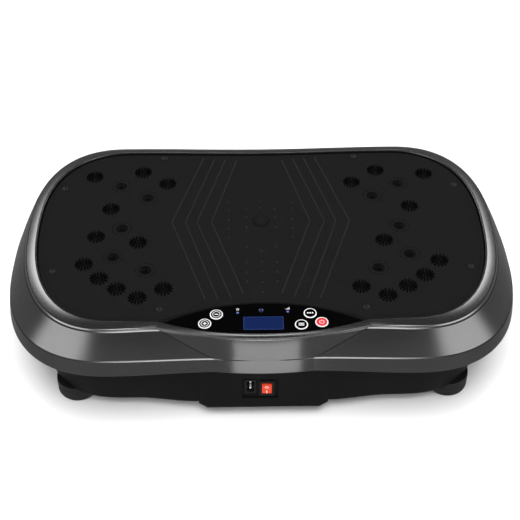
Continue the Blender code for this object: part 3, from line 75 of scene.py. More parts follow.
def half_outline(o, groove=0.0):
    """Points of the right half, from the rear's middle to the front's, with a groove at the notch."""
    power = 2 / o.roundness
    points = []
    for step in range(REAR_STEPS):
        t = step / REAR_STEPS
        wave = (1 + math.cos(math.pi * t)) / 2
        points.append((o.corner_x * t, o.rear - (o.rear - o.rear_waist) * wave))
    reach = o.half_width - o.corner_x
    for step in range(CORNER_STEPS):
        angle = math.pi / 2 * step / CORNER_STEPS
        x = o.corner_x + reach * math.sin(angle) ** power
        points.append((x, o.side_y + (o.rear - o.side_y) * math.cos(angle) ** power))
    for step in range(CORNER_STEPS):
        angle = math.pi / 2 * step / CORNER_STEPS
        x = o.corner_x + reach * math.cos(angle) ** power
        points.append((x, o.side_y - (o.front + o.side_y) * math.sin(angle) ** power))
    for step in range(FRONT_STEPS):
        t = step / FRONT_STEPS
        wave = (1 - math.cos(math.pi * t)) / 2
        x = o.corner_x + (o.notch_x - o.corner_x) * t
        points.append((x, -o.front - (o.notch_y - o.front) * wave))
    points.append((o.notch_x + 0.8, -o.notch_y))
    points.append((o.notch_x, -o.notch_y + groove))
    for step in range(PANEL_STEPS + 1):
        x = (o.notch_x - 0.8) * (1 - step / PANEL_STEPS)
        points.append((x, -o.centre + (o.centre - o.notch_y) * (x / o.notch_x) ** 2))
    return points


PANEL_FIRST = REAR_STEPS + 2 * CORNER_STEPS + FRONT_STEPS


def ring(outline, height, dip=0.0, groove=0.0):
    """A closed loop at a height, which dips along the front's middle span."""
    points = []
    for index, (x, y) in enumerate(half_outline(outline, groove)):
        share = max(0.0, 1 - (x / outline.notch_x) ** 2) if index >= PANEL_FIRST else 0.0
        points.append((x, y, height - dip * share))
    return points + [(-x, y, z) for x, y, z in reversed(points[1:-1])]


HEM = Outline(264, 150, 164.5, 161.5, 164.5, 49, 160.3, 163.5, 2.4, -25)
RIM = Outline(246, 150, 145, 142, 145, 104, 143.2, 157.2, 2.4, 9)
CREASE = inset(HEM, 2)._replace(
    front=HEM.front - 4,
    rear=HEM.rear - 4,
    rear_waist=HEM.rear_waist - 4,
    centre=RIM.centre + (HEM.centre - RIM.centre) * 0.63,
)
OPENING = inset(RIM, 12)._replace(
    front=RIM.front - 9.4,
    rear=RIM.rear - 11,
    rear_waist=RIM.rear_waist - 11,
    corner_x=142,
    notch_x=103,
    notch_y=RIM.notch_y - 6.4,
    centre=RIM.centre - 2.7,
)
MAT = inset(OPENING, 0.6)._replace(notch_y=OPENING.notch_y - 2.6, centre=109.6)
TUB_TOP = Outline(249, 130, 150, 147, 150, 66, 151, 151, 3.1, -12)
TUB_BOTTOM = inset(TUB_TOP, 6)._replace(half_width=226, notch_y=150, centre=150)

LENS_HALF_WIDTH, LENS_HALF_DEPTH, LENS_TIP_Y = 97.5, 20.8, -3.0
LENS_THICKNESS = 2.5
PANEL_PLACE, PANEL_LEAN = Vector((0, -133.2, 117.9)) * MM, math.radians(3)
PANEL = Matrix.Translation(PANEL_PLACE) @ Matrix.Rotation(PANEL_LEAN, 4, "X")
BUTTONS = {
    "button_minus": (-45.8, 6.9),
    "button_plus": (-57.0, -4.9),
    "button_mode": (45.9, 7.3),
    "button_program": (36.8, -7.4),
    "button_power": (56.7, -4.6),
}
BUTTON_RADIUS, BUTTON_PROUD = 6.4, 0.4
DISPLAY = (39.0, 17.0, -4.8)  # width, height, y
LEDS = {"led_left": (-25.0, 9.2), "led_right": (24.0, 10.0)}
IR_PLACE, IR_RADIUS = (-2.0, 12.0), 2.6
FOOT_X, FOOT_Y, FOOT_RADIUS, FOOT_HEIGHT = 192.5, 112.4, 21.5, 20.0
BOX_HALF, BOX_CHAMFER, BOX_FRONT, BOX_LENGTH = 57.0, (9.0, 6.0), -155.8, 24.0
PANEL_FACE_Y = -153.0
# x, z, width and height, then the y of the front face.
PLATE = (-3.7, 44.2, 36.5, 32.5)
INLET = (-13.3, 43.2, 12.0, 20.0, -153.8)
SWITCH = (3.2, 41.0, 15.5, 21.3, -154.9)
ROCKER_AXIS = Vector((3.2, -152.8, 41.0)) * MM


# ---------------------------------------------------------------- materials

def surface(
    name, colour, roughness, metallic=0.0, tone=0.18, tone_size=9.0, grain=0.06, grain_size=0.7,
    spread=0.08, coat=0.0, specular=0.5,
):
    """A moulded, painted or metal finish: colour that wanders, uneven gloss and a fine grain. Sizes in mm."""
    made = bpy.data.materials.new(name)
    made.use_nodes = True
    tree = made.node_tree
    shader = tree.nodes["Principled BSDF"]
    shader.inputs["Metallic"].default_value = metallic
    shader.inputs["Coat Weight"].default_value = coat
    shader.inputs["Coat Roughness"].default_value = 0.08
    shader.inputs["Specular IOR Level"].default_value = specular
    coords = tree.nodes.new("ShaderNodeTexCoord")

    def noise(size, detail):
        node = tree.nodes.new("ShaderNodeTexNoise")
        node.inputs["Scale"].default_value = 1000 / size
        node.inputs["Detail"].default_value = detail
        tree.links.new(coords.outputs["Object"], node.inputs["Vector"])
        return node.outputs["Fac"]

    patches, fine = noise(tone_size, 4), noise(grain_size, 3)
    blend = tree.nodes.new("ShaderNodeMix")
    blend.data_type = "RGBA"
    blend.inputs["A"].default_value = (*(c * (1 - tone) for c in colour), 1)
    blend.inputs["B"].default_value = (*(min(1, c * (1 + tone)) for c in colour), 1)
    tree.links.new(patches, blend.inputs["Factor"])
    tree.links.new(blend.outputs["Result"], shader.inputs["Base Color"])
    gloss = tree.nodes.new("ShaderNodeMapRange")
    gloss.inputs["From Min"].default_value = 0.3
    gloss.inputs["From Max"].default_value = 0.7
    gloss.inputs["To Min"].default_value = max(0.02, roughness - spread)
    gloss.inputs["To Max"].default_value = min(1, roughness + spread)
    tree.links.new(fine, gloss.inputs["Value"])
    tree.links.new(gloss.outputs["Result"], shader.inputs["Roughness"])
    bump = tree.nodes.new("ShaderNodeBump")
    bump.inputs["Strength"].default_value = 0.5
    bump.inputs["Distance"].default_value = grain * MM
    tree.links.new(fine, bump.inputs["Height"])
    tree.links.new(bump.outputs["Normal"], shader.inputs["Normal"])
    return made


def wood(name):
    """Plywood: stretched grain along X."""
    made = surface(name, (0.36, 0.22, 0.11), 0.65, tone=0.35, tone_size=30, grain=0.1, grain_size=1.5)
    tree = made.node_tree
    stretch = tree.nodes.new("ShaderNodeMapping")
    stretch.inputs["Scale"].default_value = (0.08, 1, 1)
    coords = next(n for n in tree.nodes if n.type == "TEX_COORD")
    tree.links.new(coords.outputs["Object"], stretch.inputs["Vector"])
    for node in [n for n in tree.nodes if n.type == "TEX_NOISE"]:
        tree.links.new(stretch.outputs["Vector"], node.inputs["Vector"])
    return made


# name, colour, roughness, metallic, tone, tone_size, grain, grain_size, spread, coat, specular
SHELL = surface("shell_satin", (0.185, 0.185, 0.188), 0.22, 0.97, 0.05, 22, 0.0008, 0.5, 0.03)
# The bead along the rim's edge gets a lighter colour than the shell: a painted highlight.
SHELL_EDGE_PAINTED_HIGHLIGHT = surface("shell_edge_painted_highlight", (0.3, 0.3, 0.304), 0.24, 0.95, 0.04, 12, 0.0008, 0.5, 0.03)
RIM_SATIN = surface("rim_satin", (0.19, 0.19, 0.193), 0.24, 0.97, 0.06, 18, 0.0008, 0.5, 0.03)
SHELL_INSIDE = surface("shell_inside", (0.02, 0.02, 0.021), 0.6, 0.0, 0.2, 14, 0.05, 0.9)
RUBBER = surface("mat_rubber", (0.0085, 0.0085, 0.0087), 0.8, 0.0, 0.16, 16, 0.09, 0.55, 0.08, 0, 0.06)
RUBBER_DARK = surface("mat_nubs", (0.0005, 0.0005, 0.0005), 0.6, 0.0, 0.25, 3, 0.04, 0.4, 0.1, 0, 0.04)
# The ribs and dots are coloured a little lighter than the mat: a painted highlight for their lit faces.
RIB_RUBBER_PAINTED_SHEEN = surface("mat_ribs", (0.0102, 0.0102, 0.0105), 0.6, 0.0, 0.2, 6, 0.05, 0.45, 0.08, 0, 0.24)
MAGNET = surface("magnet_cap", (0.0006, 0.0006, 0.0006), 0.5, 0.0, 0.2, 3, 0.02, 0.4, 0.08, 0, 0.06)
TUB = surface("tub_plastic", (0.0058, 0.0058, 0.006), 0.46, 0.0, 0.14, 20, 0.05, 0.6, 0.08, 0, 0.12)
DARK = surface("dark_plastic", (0.009, 0.009, 0.0095), 0.38, 0.0, 0.2, 6, 0.02, 0.4, 0.08, 0, 0.25)
PLATE_BLACK = surface("plate_plastic", (0.0075, 0.0075, 0.0078), 0.42, 0.0, 0.18, 5, 0.03, 0.4, 0.08, 0, 0.12)
FOOT_RUBBER = surface("foot_rubber", (0.009, 0.009, 0.009), 0.5, 0.0, 0.2, 7, 0.06, 0.5, 0.1)
BELT_RUBBER = surface("belt_rubber", (0.015, 0.015, 0.015), 0.7, 0.0, 0.25, 4, 0.1, 0.6)
STEEL = surface("steel", (0.5, 0.5, 0.51), 0.34, 1.0, 0.12, 6, 0.02, 0.3, 0.1)
SCREW_CAP = surface("screw_cap", (0.03, 0.03, 0.031), 0.42, 0.8, 0.15, 2, 0.01, 0.3, 0.08)
PAINTED = surface("painted_steel", (0.03, 0.03, 0.034), 0.42, 0.3, 0.15, 10, 0.06, 1.0, 0.1)
ALLOY = surface("cast_alloy", (0.48, 0.49, 0.51), 0.5, 1.0, 0.12, 5, 0.08, 0.8, 0.12)
# The pins are nickel-plated, but near-white and only partly metallic so they stay bright inside the dark
# socket: a painted glint.
NICKEL_PAINTED_GLINT = surface("nickel_painted_glint", (0.9, 0.9, 0.9), 0.3, 0.35, 0.05, 2, 0.01, 0.3, 0.08)
BOARD = surface("circuit_board", (0.02, 0.15, 0.06), 0.45, 0.0, 0.3, 3, 0.03, 0.8, 0.1)
LOOM = surface("loom_sleeve", (0.02, 0.02, 0.022), 0.6, 0.0, 0.3, 2, 0.08, 0.5)
GLOSS = surface("gloss_black", (0.001, 0.001, 0.0012), 0.1, 0.0, 0.1, 12, 0.0015, 1.2, 0.03, 0, 0.06)
BLUE = surface("display_blue", (0.0045, 0.0125, 0.062), 0.16, 0.0, 0.1, 7, 0.002, 0.8, 0.04, 0, 0.2)
BLUE_EDGE = surface("display_frame", (0.02, 0.045, 0.17), 0.25, 0.0, 0.1, 5, 0.004, 0.5, 0.05)
WINDOW = surface("window_blue", (0.006, 0.01, 0.05), 0.14, 0.0, 0.2, 2, 0.002, 0.5, 0.03, 0.3)
LAMP = surface("lamp", (0.09, 0.13, 0.42), 0.2, 0.0, 0.2, 1, 0.002, 0.3, 0.05, 0.3)
WHITE = surface("key_white", (0.8, 0.8, 0.8), 0.36, 0.0, 0.04, 3, 0.004, 0.3, 0.06)
RED = surface("key_red", (0.62, 0.018, 0.03), 0.32, 0.0, 0.08, 3, 0.004, 0.3, 0.06)
ROCKER_RED = surface("rocker_red", (0.75, 0.055, 0.015), 0.3, 0.0, 0.08, 4, 0.006, 0.3, 0.06)
WOOD = wood("deck_plywood")


# ---------------------------------------------------------------- mesh helpers

def round_edges(obj, width, segments=3, angle=40):
    """Rounds the edges that turn by more than an angle in degrees. The width is in mm."""
    bevel = obj.modifiers.new("edges", "BEVEL")
    bevel.width = width * MM
    bevel.segments = segments
    bevel.limit_method = "ANGLE"
    bevel.angle_limit = math.radians(angle)
    bevel.harden_normals = True


def place(name, work, finish, body, replaces=(), sharp=35, bevel=0.0):
    """A finished piece from a bmesh in metres, riding on a body and standing for some nodes."""
    bmesh.ops.recalc_face_normals(work, faces=work.faces)
    mesh = bpy.data.meshes.new(name)
    work.to_mesh(mesh)
    work.free()
    for one in finish if isinstance(finish, (tuple, list)) else (finish,):
        mesh.materials.append(one)
    mesh.shade_smooth()
    mesh.set_sharp_from_angle(angle=math.radians(sharp))
    obj = bpy.data.objects.new(name, mesh)
    bpy.context.scene.collection.objects.link(obj)
    if bevel:
        round_edges(obj, bevel)
    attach(obj, body)
    if replaces:
        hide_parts(*replaces)
    return obj


def carve(obj, work, operation="DIFFERENCE"):
    """Cuts a shape from a piece, or joins it on, for good."""
    bmesh.ops.recalc_face_normals(work, faces=work.faces)
    mesh = bpy.data.meshes.new("tool")
    work.to_mesh(mesh)
    work.free()
    tool = bpy.data.objects.new("tool", mesh)
    bpy.context.scene.collection.objects.link(tool)
    boolean = obj.modifiers.new("carve", "BOOLEAN")
    boolean.operation = operation
    boolean.solver = "EXACT"
    boolean.object = tool
    bpy.context.view_layer.update()
    graph = bpy.context.evaluated_depsgraph_get()
    made = bpy.data.meshes.new_from_object(obj.evaluated_get(graph))
    obj.modifiers.remove(boolean)
    obj.data = made
    bpy.data.objects.remove(tool)
    made.set_sharp_from_angle(angle=math.radians(35))
    return obj


def trimmed(work, cutter):
    """A shape with another one cut from it."""
    bmesh.ops.recalc_face_normals(work, faces=work.faces)
    mesh = bpy.data.meshes.new("blank")
    work.to_mesh(mesh)
    work.free()
    blank = bpy.data.objects.new("blank", mesh)
    bpy.context.scene.collection.objects.link(blank)
    carve(blank, cutter)
    left = bmesh.new()
    left.from_mesh(blank.data)
    bpy.data.objects.remove(blank)
    return left


def skin(rings, hollow=False, finishes=None):
    """A body through rings of equal length, capped at its ends or closed into a hoop."""
    work = bmesh.new()
    loops = [[work.verts.new(Vector(p) * MM) for p in points] for points in rings]
    pairs = list(zip(loops, loops[1:]))
    if hollow:
        pairs.append((loops[-1], loops[0]))
    else:
        work.faces.new(loops[0])
        work.faces.new(loops[-1])
    for number, (lower, upper) in enumerate(pairs):
        for index in range(len(lower)):
            after = (index + 1) % len(lower)
            face = work.faces.new((lower[index], lower[after], upper[after], upper[index]))
            if finishes:
                face.material_index = finishes[number]
    return work


def turned(profile, centre=(0, 0, 0), axis="Z", segments=48, work=None):
    """A closed (radius, height) profile turned about an axis through a centre, in mm."""
    work = work or bmesh.new()
    turn = Matrix.Identity(3)
    if axis == "Y":
        turn = Matrix.Rotation(math.radians(-90), 3, "X")
    if axis == "X":
        turn = Matrix.Rotation(math.radians(90), 3, "Y")
    loops = []
    for radius, height in profile:
        spokes = segments if radius else 1
        loop = []
        for step in range(spokes):
            angle = 2 * math.pi * step / spokes
            spot = Vector((radius * math.cos(angle), radius * math.sin(angle), height))
            loop.append(work.verts.new((turn @ spot + Vector(centre)) * MM))
        loops.append(loop)
    for lower, upper in zip(loops, loops[1:] + loops[:1]):
        for index in range(segments):
            after = (index + 1) % segments
            corners = [lower[index % len(lower)], lower[after % len(lower)]]
            corners += [upper[after % len(upper)], upper[index % len(upper)]]
            corners = list(dict.fromkeys(corners))
            if len(corners) > 2:
                work.faces.new(corners)
    return work


def dome(radius, low, shoulder, top, steps=5):
    """The profile of a button with a rounded top."""
    profile = [(0, low), (radius, low)]
    for step in range(steps + 1):
        angle = math.pi / 2 * step / steps
        profile.append((radius * math.cos(angle), shoulder + (top - shoulder) * math.sin(angle)))
    profile[-1] = (0, top)
    return profile


def block(low, high, work=None):
    """A box between two corners in mm."""
    work = work or bmesh.new()
    low, high = Vector(low) * MM, Vector(high) * MM
    made = bmesh.ops.create_cube(work, size=1)["verts"]
    bmesh.ops.scale(work, verts=made, vec=high - low)
    bmesh.ops.translate(work, verts=made, vec=(low + high) / 2)
    return work


def prism(outline, low, high, axis="Z", work=None):
    """A flat outline extruded along an axis. Along Y it holds (x, z), along X (y, z)."""
    work = work or bmesh.new()
    spots = {
        "Z": lambda a, b, h: (a, b, h),
        "Y": lambda a, b, h: (a, h, b),
        "X": lambda a, b, h: (h, a, b),
    }[axis]
    lower = [work.verts.new(Vector(spots(a, b, low)) * MM) for a, b in outline]
    upper = [work.verts.new(Vector(spots(a, b, high)) * MM) for a, b in outline]
    work.faces.new(lower)
    work.faces.new(upper)
    for index in range(len(lower)):
        after = (index + 1) % len(lower)
        work.faces.new((lower[index], lower[after], upper[after], upper[index]))
    return work


def rounded_rectangle(x, y, width, height, radius, steps=5):
    points = []
    for corner, (sx, sy) in enumerate(((1, 1), (-1, 1), (-1, -1), (1, -1))):
        cx, cy = x + sx * (width / 2 - radius), y + sy * (height / 2 - radius)
        for step in range(steps + 1):
            angle = math.pi / 2 * (corner + step / steps)
            points.append((cx + radius * math.cos(angle), cy + radius * math.sin(angle)))
    return points


def plus_sign(centre, reach, half):
    """The outline of a screw's cross recess."""
    points = []
    for turn in range(4):
        turned_by = Matrix.Rotation(math.pi / 2 * turn, 2)
        for corner in ((reach, -half), (reach, half), (half, half)):
            spot = turned_by @ Vector(corner)
            points.append((centre[0] + spot.x, centre[1] + spot.y))
    return points


def bar(work, start, end, width, low, high, ends=4, crown=0.6):
    """A raised rib with round ends and a narrower crown, between two points in mm."""
    start, end = Vector(start), Vector(end)
    along = (end - start).normalized()
    heading = math.atan2(along.y, along.x)
    loops = []
    for share, height in ((1, low), (1, low + (high - low) * 0.6), (crown, high)):
        radius = width / 2 * share
        loop = []
        for centre, turn in ((end, -math.pi / 2), (start, math.pi / 2)):
            for step in range(ends + 1):
                angle = heading + turn + math.pi * step / ends
                x = centre.x + radius * math.cos(angle)
                y = centre.y + radius * math.sin(angle)
                loop.append(work.verts.new(Vector((x, y, height)) * MM))
        loops.append(loop)
    work.faces.new(loops[0])
    work.faces.new(loops[-1])
    for lower, upper in zip(loops, loops[1:]):
        for index in range(len(lower)):
            after = (index + 1) % len(lower)
            work.faces.new((lower[index], lower[after], upper[after], upper[index]))
    return work


# ---------------------------------------------------------------- shell

# The second finish index marks the rim's bead, which carries the painted highlight colour.
PAINT, BEAD_PAINTED_HIGHLIGHT, SATIN, UNSEEN = range(4)
# Each pair is a share of the way from the opening to the rim, and a height.
RIM_ROLL = ((0.02, 120.2), (0.07, 120.6), (0.16, 120.7), (0.35, 120.25), (0.6, 119.4), (0.85, 118.45))
RIM_BEAD = ((0.93, 118.1), (0.975, 117.75))
FLANK_SHARES = (0.09, 0.2, 0.35, 0.5, 0.65, 0.8, 0.92, 0.975)
FLANK_TOP, FLANK_BULGE, PANEL_GROOVE = RIM_HEIGHT - 3, 0.7, 1.1
SHELL_THICKNESS = 3
SHELF_UNDER, SHELF_TOP, SHELF_WIDTH = 102.8, 106.2, 14


def rim_levels():
    """The rolled rim, from the opening's wall out to the bead at its edge, whose lighter colour is a painted
    highlight.
    """
    levels = [Level(OPENING, 108, 0, 0, SATIN), Level(OPENING, 119.4, 0, 0, SATIN)]
    levels += [Level(between(OPENING, RIM, share), height, 1, 0, SATIN) for share, height in RIM_ROLL]
    levels += [Level(between(OPENING, RIM, share), height, 1, 0, BEAD_PAINTED_HIGHLIGHT) for share, height in RIM_BEAD]
    return levels + [
        Level(RIM, 117.2, 1, 0, BEAD_PAINTED_HIGHLIGHT),
        Level(inset(between(RIM, CREASE, 0.03), -0.1), 116.5, 1, 0.9, BEAD_PAINTED_HIGHLIGHT),
        Level(inset(between(RIM, CREASE, 0.055), 0.25), 116.0, 1, 0.9, PAINT),
    ]


def flank_levels():
    """The flank from the rim to the crease. It swells a little, and its dip at the front fades out."""
    levels = []
    for share in FLANK_SHARES:
        outline = inset(between(RIM, CREASE, share), -FLANK_BULGE * math.sin(math.pi * share))
        height = FLANK_TOP + (CREASE_HEIGHT - FLANK_TOP) * share
        levels.append(Level(outline, height, max(0.0, 1 - 1.4 * share), PANEL_GROOVE, PAINT))
    return levels


def hem_levels():
    """The crease, the hem below it, and the inner face up to the shelf under the mat."""
    crease_line = inset(CREASE, 0.5)._replace(centre=CREASE.centre)
    stack = (
        (inset(CREASE, 0.05), CREASE_HEIGHT + 0.5, PAINT),
        (crease_line, CREASE_HEIGHT, PAINT),
        (inset(between(CREASE, HEM, 0.05), -0.1), CREASE_HEIGHT - 0.6, PAINT),
        (inset(between(CREASE, HEM, 0.5), -0.35), CREASE_HEIGHT - 8.5, PAINT),
        (HEM, HEM_HEIGHT + 1.2, PAINT),
        (inset(HEM, 0.35), HEM_HEIGHT + 0.35, PAINT),
        (inset(HEM, 1.1), HEM_HEIGHT, SATIN),
        (inset(HEM, 2.4), HEM_HEIGHT, UNSEEN),
        (inset(HEM, SHELL_THICKNESS), HEM_HEIGHT + 0.8, UNSEEN),
        (inset(CREASE, SHELL_THICKNESS), CREASE_HEIGHT, UNSEEN),
        (inset(between(RIM, CREASE, 0.56), SHELL_THICKNESS), SHELF_UNDER, UNSEEN),
        (inset(OPENING, SHELF_WIDTH), SHELF_UNDER, UNSEEN),
        (inset(OPENING, SHELF_WIDTH), SHELF_TOP, UNSEEN),
        (inset(OPENING, 0.3), SHELF_TOP + 0.1, UNSEEN),
    )
    return [Level(outline, height, 0, 0, finish) for outline, height, finish in stack]


def make_shell():
    """The painted cover, from the opening over the rim and down to the hem, then back inside."""
    levels = rim_levels() + flank_levels() + hem_levels()
    rings = [ring(level.outline, level.height, PANEL_DIP * level.dip, level.groove) for level in levels]
    work = skin(rings, hollow=True, finishes=[level.finish for level in levels])
    finishes = (SHELL, SHELL_EDGE_PAINTED_HIGHLIGHT, RIM_SATIN, SHELL_INSIDE)
    place("shell_cover", work, finishes, "platform", ("top_shell",), sharp=14)


# ---------------------------------------------------------------- mat

# Each pair is a distance in from the mat's edge, and a height.
MAT_EDGE = (
    (0.4, 114.9), (0, 115.3), (0, 116.9), (0.5, 117.6), (1.4, 117.9),
    (3.2, 117.95), (4.0, 118.0), (4.5, 118.4), (5.4, MAT_TOP),
)
FLANGE_TOP = 116
# Pads and screws are placed by shares of the mat's half width and half depth.
PADS = (
    (0.783, 0.687), (0.555, 0.741), (0.434, 0.584), (0.689, 0.267), (0.550, -0.146),
    (0.779, -0.392), (0.706, -0.552), (0.625, -0.670), (0.533, -0.769), (0.424, -0.673),
)
LEFT_ONLY_PAD = (-0.741, -0.071)
PAD_RADIUS, PAD_TOP, NUB_TOP = 9.5, MAT_TOP + 0.9, MAT_TOP + 1.95
PAD_BARS = ((14, 0, 5.6, 8.6, 1.7), (8, 0.5, 2.7, 4.4, 1.6))
MAGNETS = ((152.7, 75.4), (122.5, 54.4), (147, 3.8), (153.2, -41), (118.9, -61.6))
MAGNET_PROFILE = (
    (0, -0.4), (6.6, -0.4), (6.4, 0.1), (5.6, 0.3), (4.6, 0.2), (3.6, 0.7), (1.8, 1.2), (0, 1.3),
)
MAGNET_DOTS, MAGNET_DOT_RING = 16, 10.2
RIBS = (
    (94.3, (57.4, -105), (62.5, 124)), (80, (45, -105), (50.2, 122)),
    (67.7, (31.8, -103), (38, 120.3)), (52.3, (19.5, -97.4), (25.6, 118.4)),
)
BEND_Y, RIB_WIDTH = 12.4, 1.9
DOT_ROWS = (
    (0, (45, 35, -35, -51, -66, -82, -96.5)),
    (15.4, (32.5, 19, 3, -28, -52, -67, -81)),
    (33.8, (44, 31, 16, 1, -13)),
)
CENTRE_DOME = (0, 13.4, 0)
SCREWS = (
    ("front_side", 0.912, -0.463), ("rear_side", 0.915, 0.534),
    ("rear", 0.458, 0.935), ("front", 0.436, -0.885),
)
SCREW_FOOT, SCREW_SEAT, SCREW_SHANK, SCREW_HEAD = 107.6, MAT_TOP + 0.3, 1.9, 3.8


def make_mat_sheet():
    """The rubber sheet, with a flange under the rim and a rolled border."""
    flange = MAT._replace(notch_y=OPENING.notch_y - 0.4)
    rings = [ring(inset(flange if z < FLANGE_TOP else MAT, distance), z) for distance, z in MAT_EDGE]
    place("mat_sheet", skin(rings), RUBBER, "platform", ("rubber_mat",), sharp=50)


def make_pads():
    """Round massage pads, each with two rings of short bars and a stud in the middle."""
    discs, nubs = bmesh.new(), bmesh.new()
    shares = [(side * across, along) for across, along in PADS for side in (-1, 1)] + [LEFT_ONLY_PAD]
    for across, along in shares:
        x, y = across * MAT.half_width, along * MAT.rear
        disc = dome(PAD_RADIUS, MAT_TOP - 0.4, MAT_TOP + 0.1, PAD_TOP)
        turned(disc, (x, y, 0), segments=32, work=discs)
        for count, offset, near, far, width in PAD_BARS:
            for step in range(count):
                angle = 2 * math.pi * (step + offset) / count
                c, s = math.cos(angle), math.sin(angle)
                ends = (x + near * c, y + near * s, 0), (x + far * c, y + far * s, 0)
                bar(nubs, *ends, width, MAT_TOP + 0.2, NUB_TOP, 3)
        turned(dome(1.3, MAT_TOP, MAT_TOP + 1.2, NUB_TOP, 3), (x, y, 0), segments=12, work=nubs)
    place("mat_pad_discs", discs, RUBBER, "platform")
    place("mat_pad_nubs", nubs, RUBBER_DARK, "platform")


def make_ribs():
    """Bent grip ribs on both sides, and rows of dots between them."""
    ribs = bmesh.new()
    for bend, front, rear in RIBS:
        for side in (-1, 1):
            middle = (side * bend, BEND_Y, 0)
            for x, y in (front, rear):
                bar(ribs, middle, (side * x, y, 0), RIB_WIDTH, MAT_TOP - 0.3, MAT_TOP + 0.75, 4, 0.5)
    for across, rows in DOT_ROWS:
        for y in rows:
            for x in {across, -across}:
                profile = dome(1.5, MAT_TOP - 0.3, MAT_TOP + 0.1, MAT_TOP + 0.85, 4)
                turned(profile, (x, y, 0), segments=14, work=ribs)
    # The lighter rib colour is a painted highlight for their lit faces.
    place("mat_ribs", ribs, RIB_RUBBER_PAINTED_SHEEN, "platform")


def make_centre_dome():
    centre = bmesh.new()
    low, high = MAT_TOP - 0.3, MAT_TOP + 0.4
    turned(((8.9, low), (9.9, low), (9.7, high), (9.1, high)), CENTRE_DOME, segments=48, work=centre)
    turned(dome(8.4, low, MAT_TOP + 0.2, MAT_TOP + 3.7, 8), CENTRE_DOME, segments=48, work=centre)
    place("mat_centre_dome", centre, RUBBER, "platform")


def make_magnets():
    """Stepped caps over the magnets, each in a ring of small dots."""
    caps, dots = bmesh.new(), bmesh.new()
    profile = [(radius, MAT_TOP + height) for radius, height in MAGNET_PROFILE]
    for across, y in MAGNETS:
        for x in (-across, across):
            turned(profile, (x, y, 0), segments=32, work=caps)
            for step in range(MAGNET_DOTS):
                angle = 2 * math.pi * step / MAGNET_DOTS
                spot = (x + MAGNET_DOT_RING * math.cos(angle), y + MAGNET_DOT_RING * math.sin(angle), 0)
                turned(dome(0.75, MAT_TOP - 0.2, MAT_TOP, MAT_TOP + 0.45, 3), spot, segments=8, work=dots)
    place("mat_magnet_caps", caps, MAGNET, "platform")
    place("mat_magnet_dots", dots, RUBBER_DARK, "platform")


def make_mat_screws():
    """The eight domed screws that hold the mat, each with a cross recess."""
    shoulder = SCREW_SEAT + 0.25
    profile = [(0, SCREW_FOOT), (SCREW_SHANK, SCREW_FOOT), (SCREW_SHANK, SCREW_SEAT), (3.5, SCREW_SEAT)]
    profile.append((SCREW_HEAD, shoulder))
    for step in range(1, 5):
        angle = math.pi / 2 * step / 5
        profile.append((SCREW_HEAD * math.cos(angle), shoulder + 1.15 * math.sin(angle)))
    profile.append((0, SCREW_SEAT + 1.4))
    for place_name, across, along in SCREWS:
        reach = MAT.rear if along > 0 else MAT.front
        for side_name, side in (("left", -1), ("right", 1)):
            name = f"{place_name}_{side_name}"
            spot = (side * across * MAT.half_width, along * reach, 0)
            head = place(f"mat_screw_head_{name}", turned(profile, spot, segments=32), SCREW_CAP,
                         "platform", (f"mat_screw_{name}",))
            carve(head, prism(plus_sign(spot, 1.9, 0.35), SCREW_SEAT + 0.7, SCREW_SEAT + 3))


def make_mat():
    make_mat_sheet()
    make_pads()
    make_ribs()
    make_centre_dome()
    make_magnets()
    make_mat_screws()


# ---------------------------------------------------------------- control panel

def lens_points(shrink=0.0, steps=48):
    """The eye shape between two shallow arcs."""
    half_width = LENS_HALF_WIDTH - 2.5 * shrink
    points = []
    for side in (1, -1):
        rise = side * (LENS_HALF_DEPTH - shrink) - LENS_TIP_Y
        for step in range(steps):
            x = side * half_width * math.cos(math.pi * step / steps)
            points.append((x, LENS_TIP_Y + rise * (1 - abs(x / half_width) ** 2.2)))
    return points


def on_panel(work):
    bmesh.ops.transform(work, matrix=PANEL, verts=work.verts)
    return work


def ring_mark(work, centre, inner, outer, low, high, segments=40):
    """A flat printed ring."""
    profile = ((inner, low), (outer, low), (outer, high), (inner, high))
    return turned(profile, (*centre, 0), "Z", segments, work)


def rectangle_mark(work, centre, width, height, low, high, angle=0.0):
    x, y = centre
    turn = Matrix.Rotation(angle, 2)
    corners = []
    for sx, sy in ((-1, -1), (1, -1), (1, 1), (-1, 1)):
        spot = turn @ Vector((sx * width / 2, sy * height / 2))
        corners.append((x + spot.x, y + spot.y))
    return prism(corners, low, high, "Z", work)


# Each pair is a distance in from the lens's edge, and a height.
LENS_EDGE = (
    (0.5, -LENS_THICKNESS), (0, -LENS_THICKNESS + 0.4), (0, -0.6), (0.12, -0.25), (0.35, -0.06), (0.7, 0),
)
LENS_CUT, PARTS_LOW, PRINT_TOP = (-4, 2), -7.5, 0.05
KEY_LOW, KEY_FLANGE, KEY_FLANGE_TOP, KEY_ROUNDING, KEY_FACE = -3.9, 7.0, -2.8, 0.4, 5.35
SIGN_LOW, SIGN_HIGH = BUTTON_PROUD + 0.02, BUTTON_PROUD + 0.09


def plug(centre, radius, segments, work):
    """A cylinder that goes right through the lens."""
    low, high = LENS_CUT
    turned(((0, low), (radius, low), (radius, high), (0, high)), (*centre, 0), segments=segments, work=work)


def make_lens():
    """The glossy eye-shaped lens, with a hole for each key, lamp and window, and its gasket."""
    rings = [[(x, y, z) for x, y in lens_points(shrink)] for shrink, z in LENS_EDGE]
    lens = place("lens_panel", on_panel(skin(rings)), GLOSS, "platform", ("control_lens",), 40)
    holes = bmesh.new()
    for centre in BUTTONS.values():
        plug(centre, BUTTON_RADIUS + 0.25, 48, holes)
    for centre in LEDS.values():
        plug(centre, 1.55, 20, holes)
    plug(IR_PLACE, IR_RADIUS + 0.25, 28, holes)
    width, height, y = DISPLAY
    prism(rounded_rectangle(0, y, width + 0.6, height + 0.6, 0.9), *LENS_CUT, "Z", holes)
    carve(lens, on_panel(holes))
    gasket = prism(lens_points(-1.6), -3.2, -LENS_THICKNESS - 0.1)
    place("lens_gasket", on_panel(gasket), DARK, "platform")


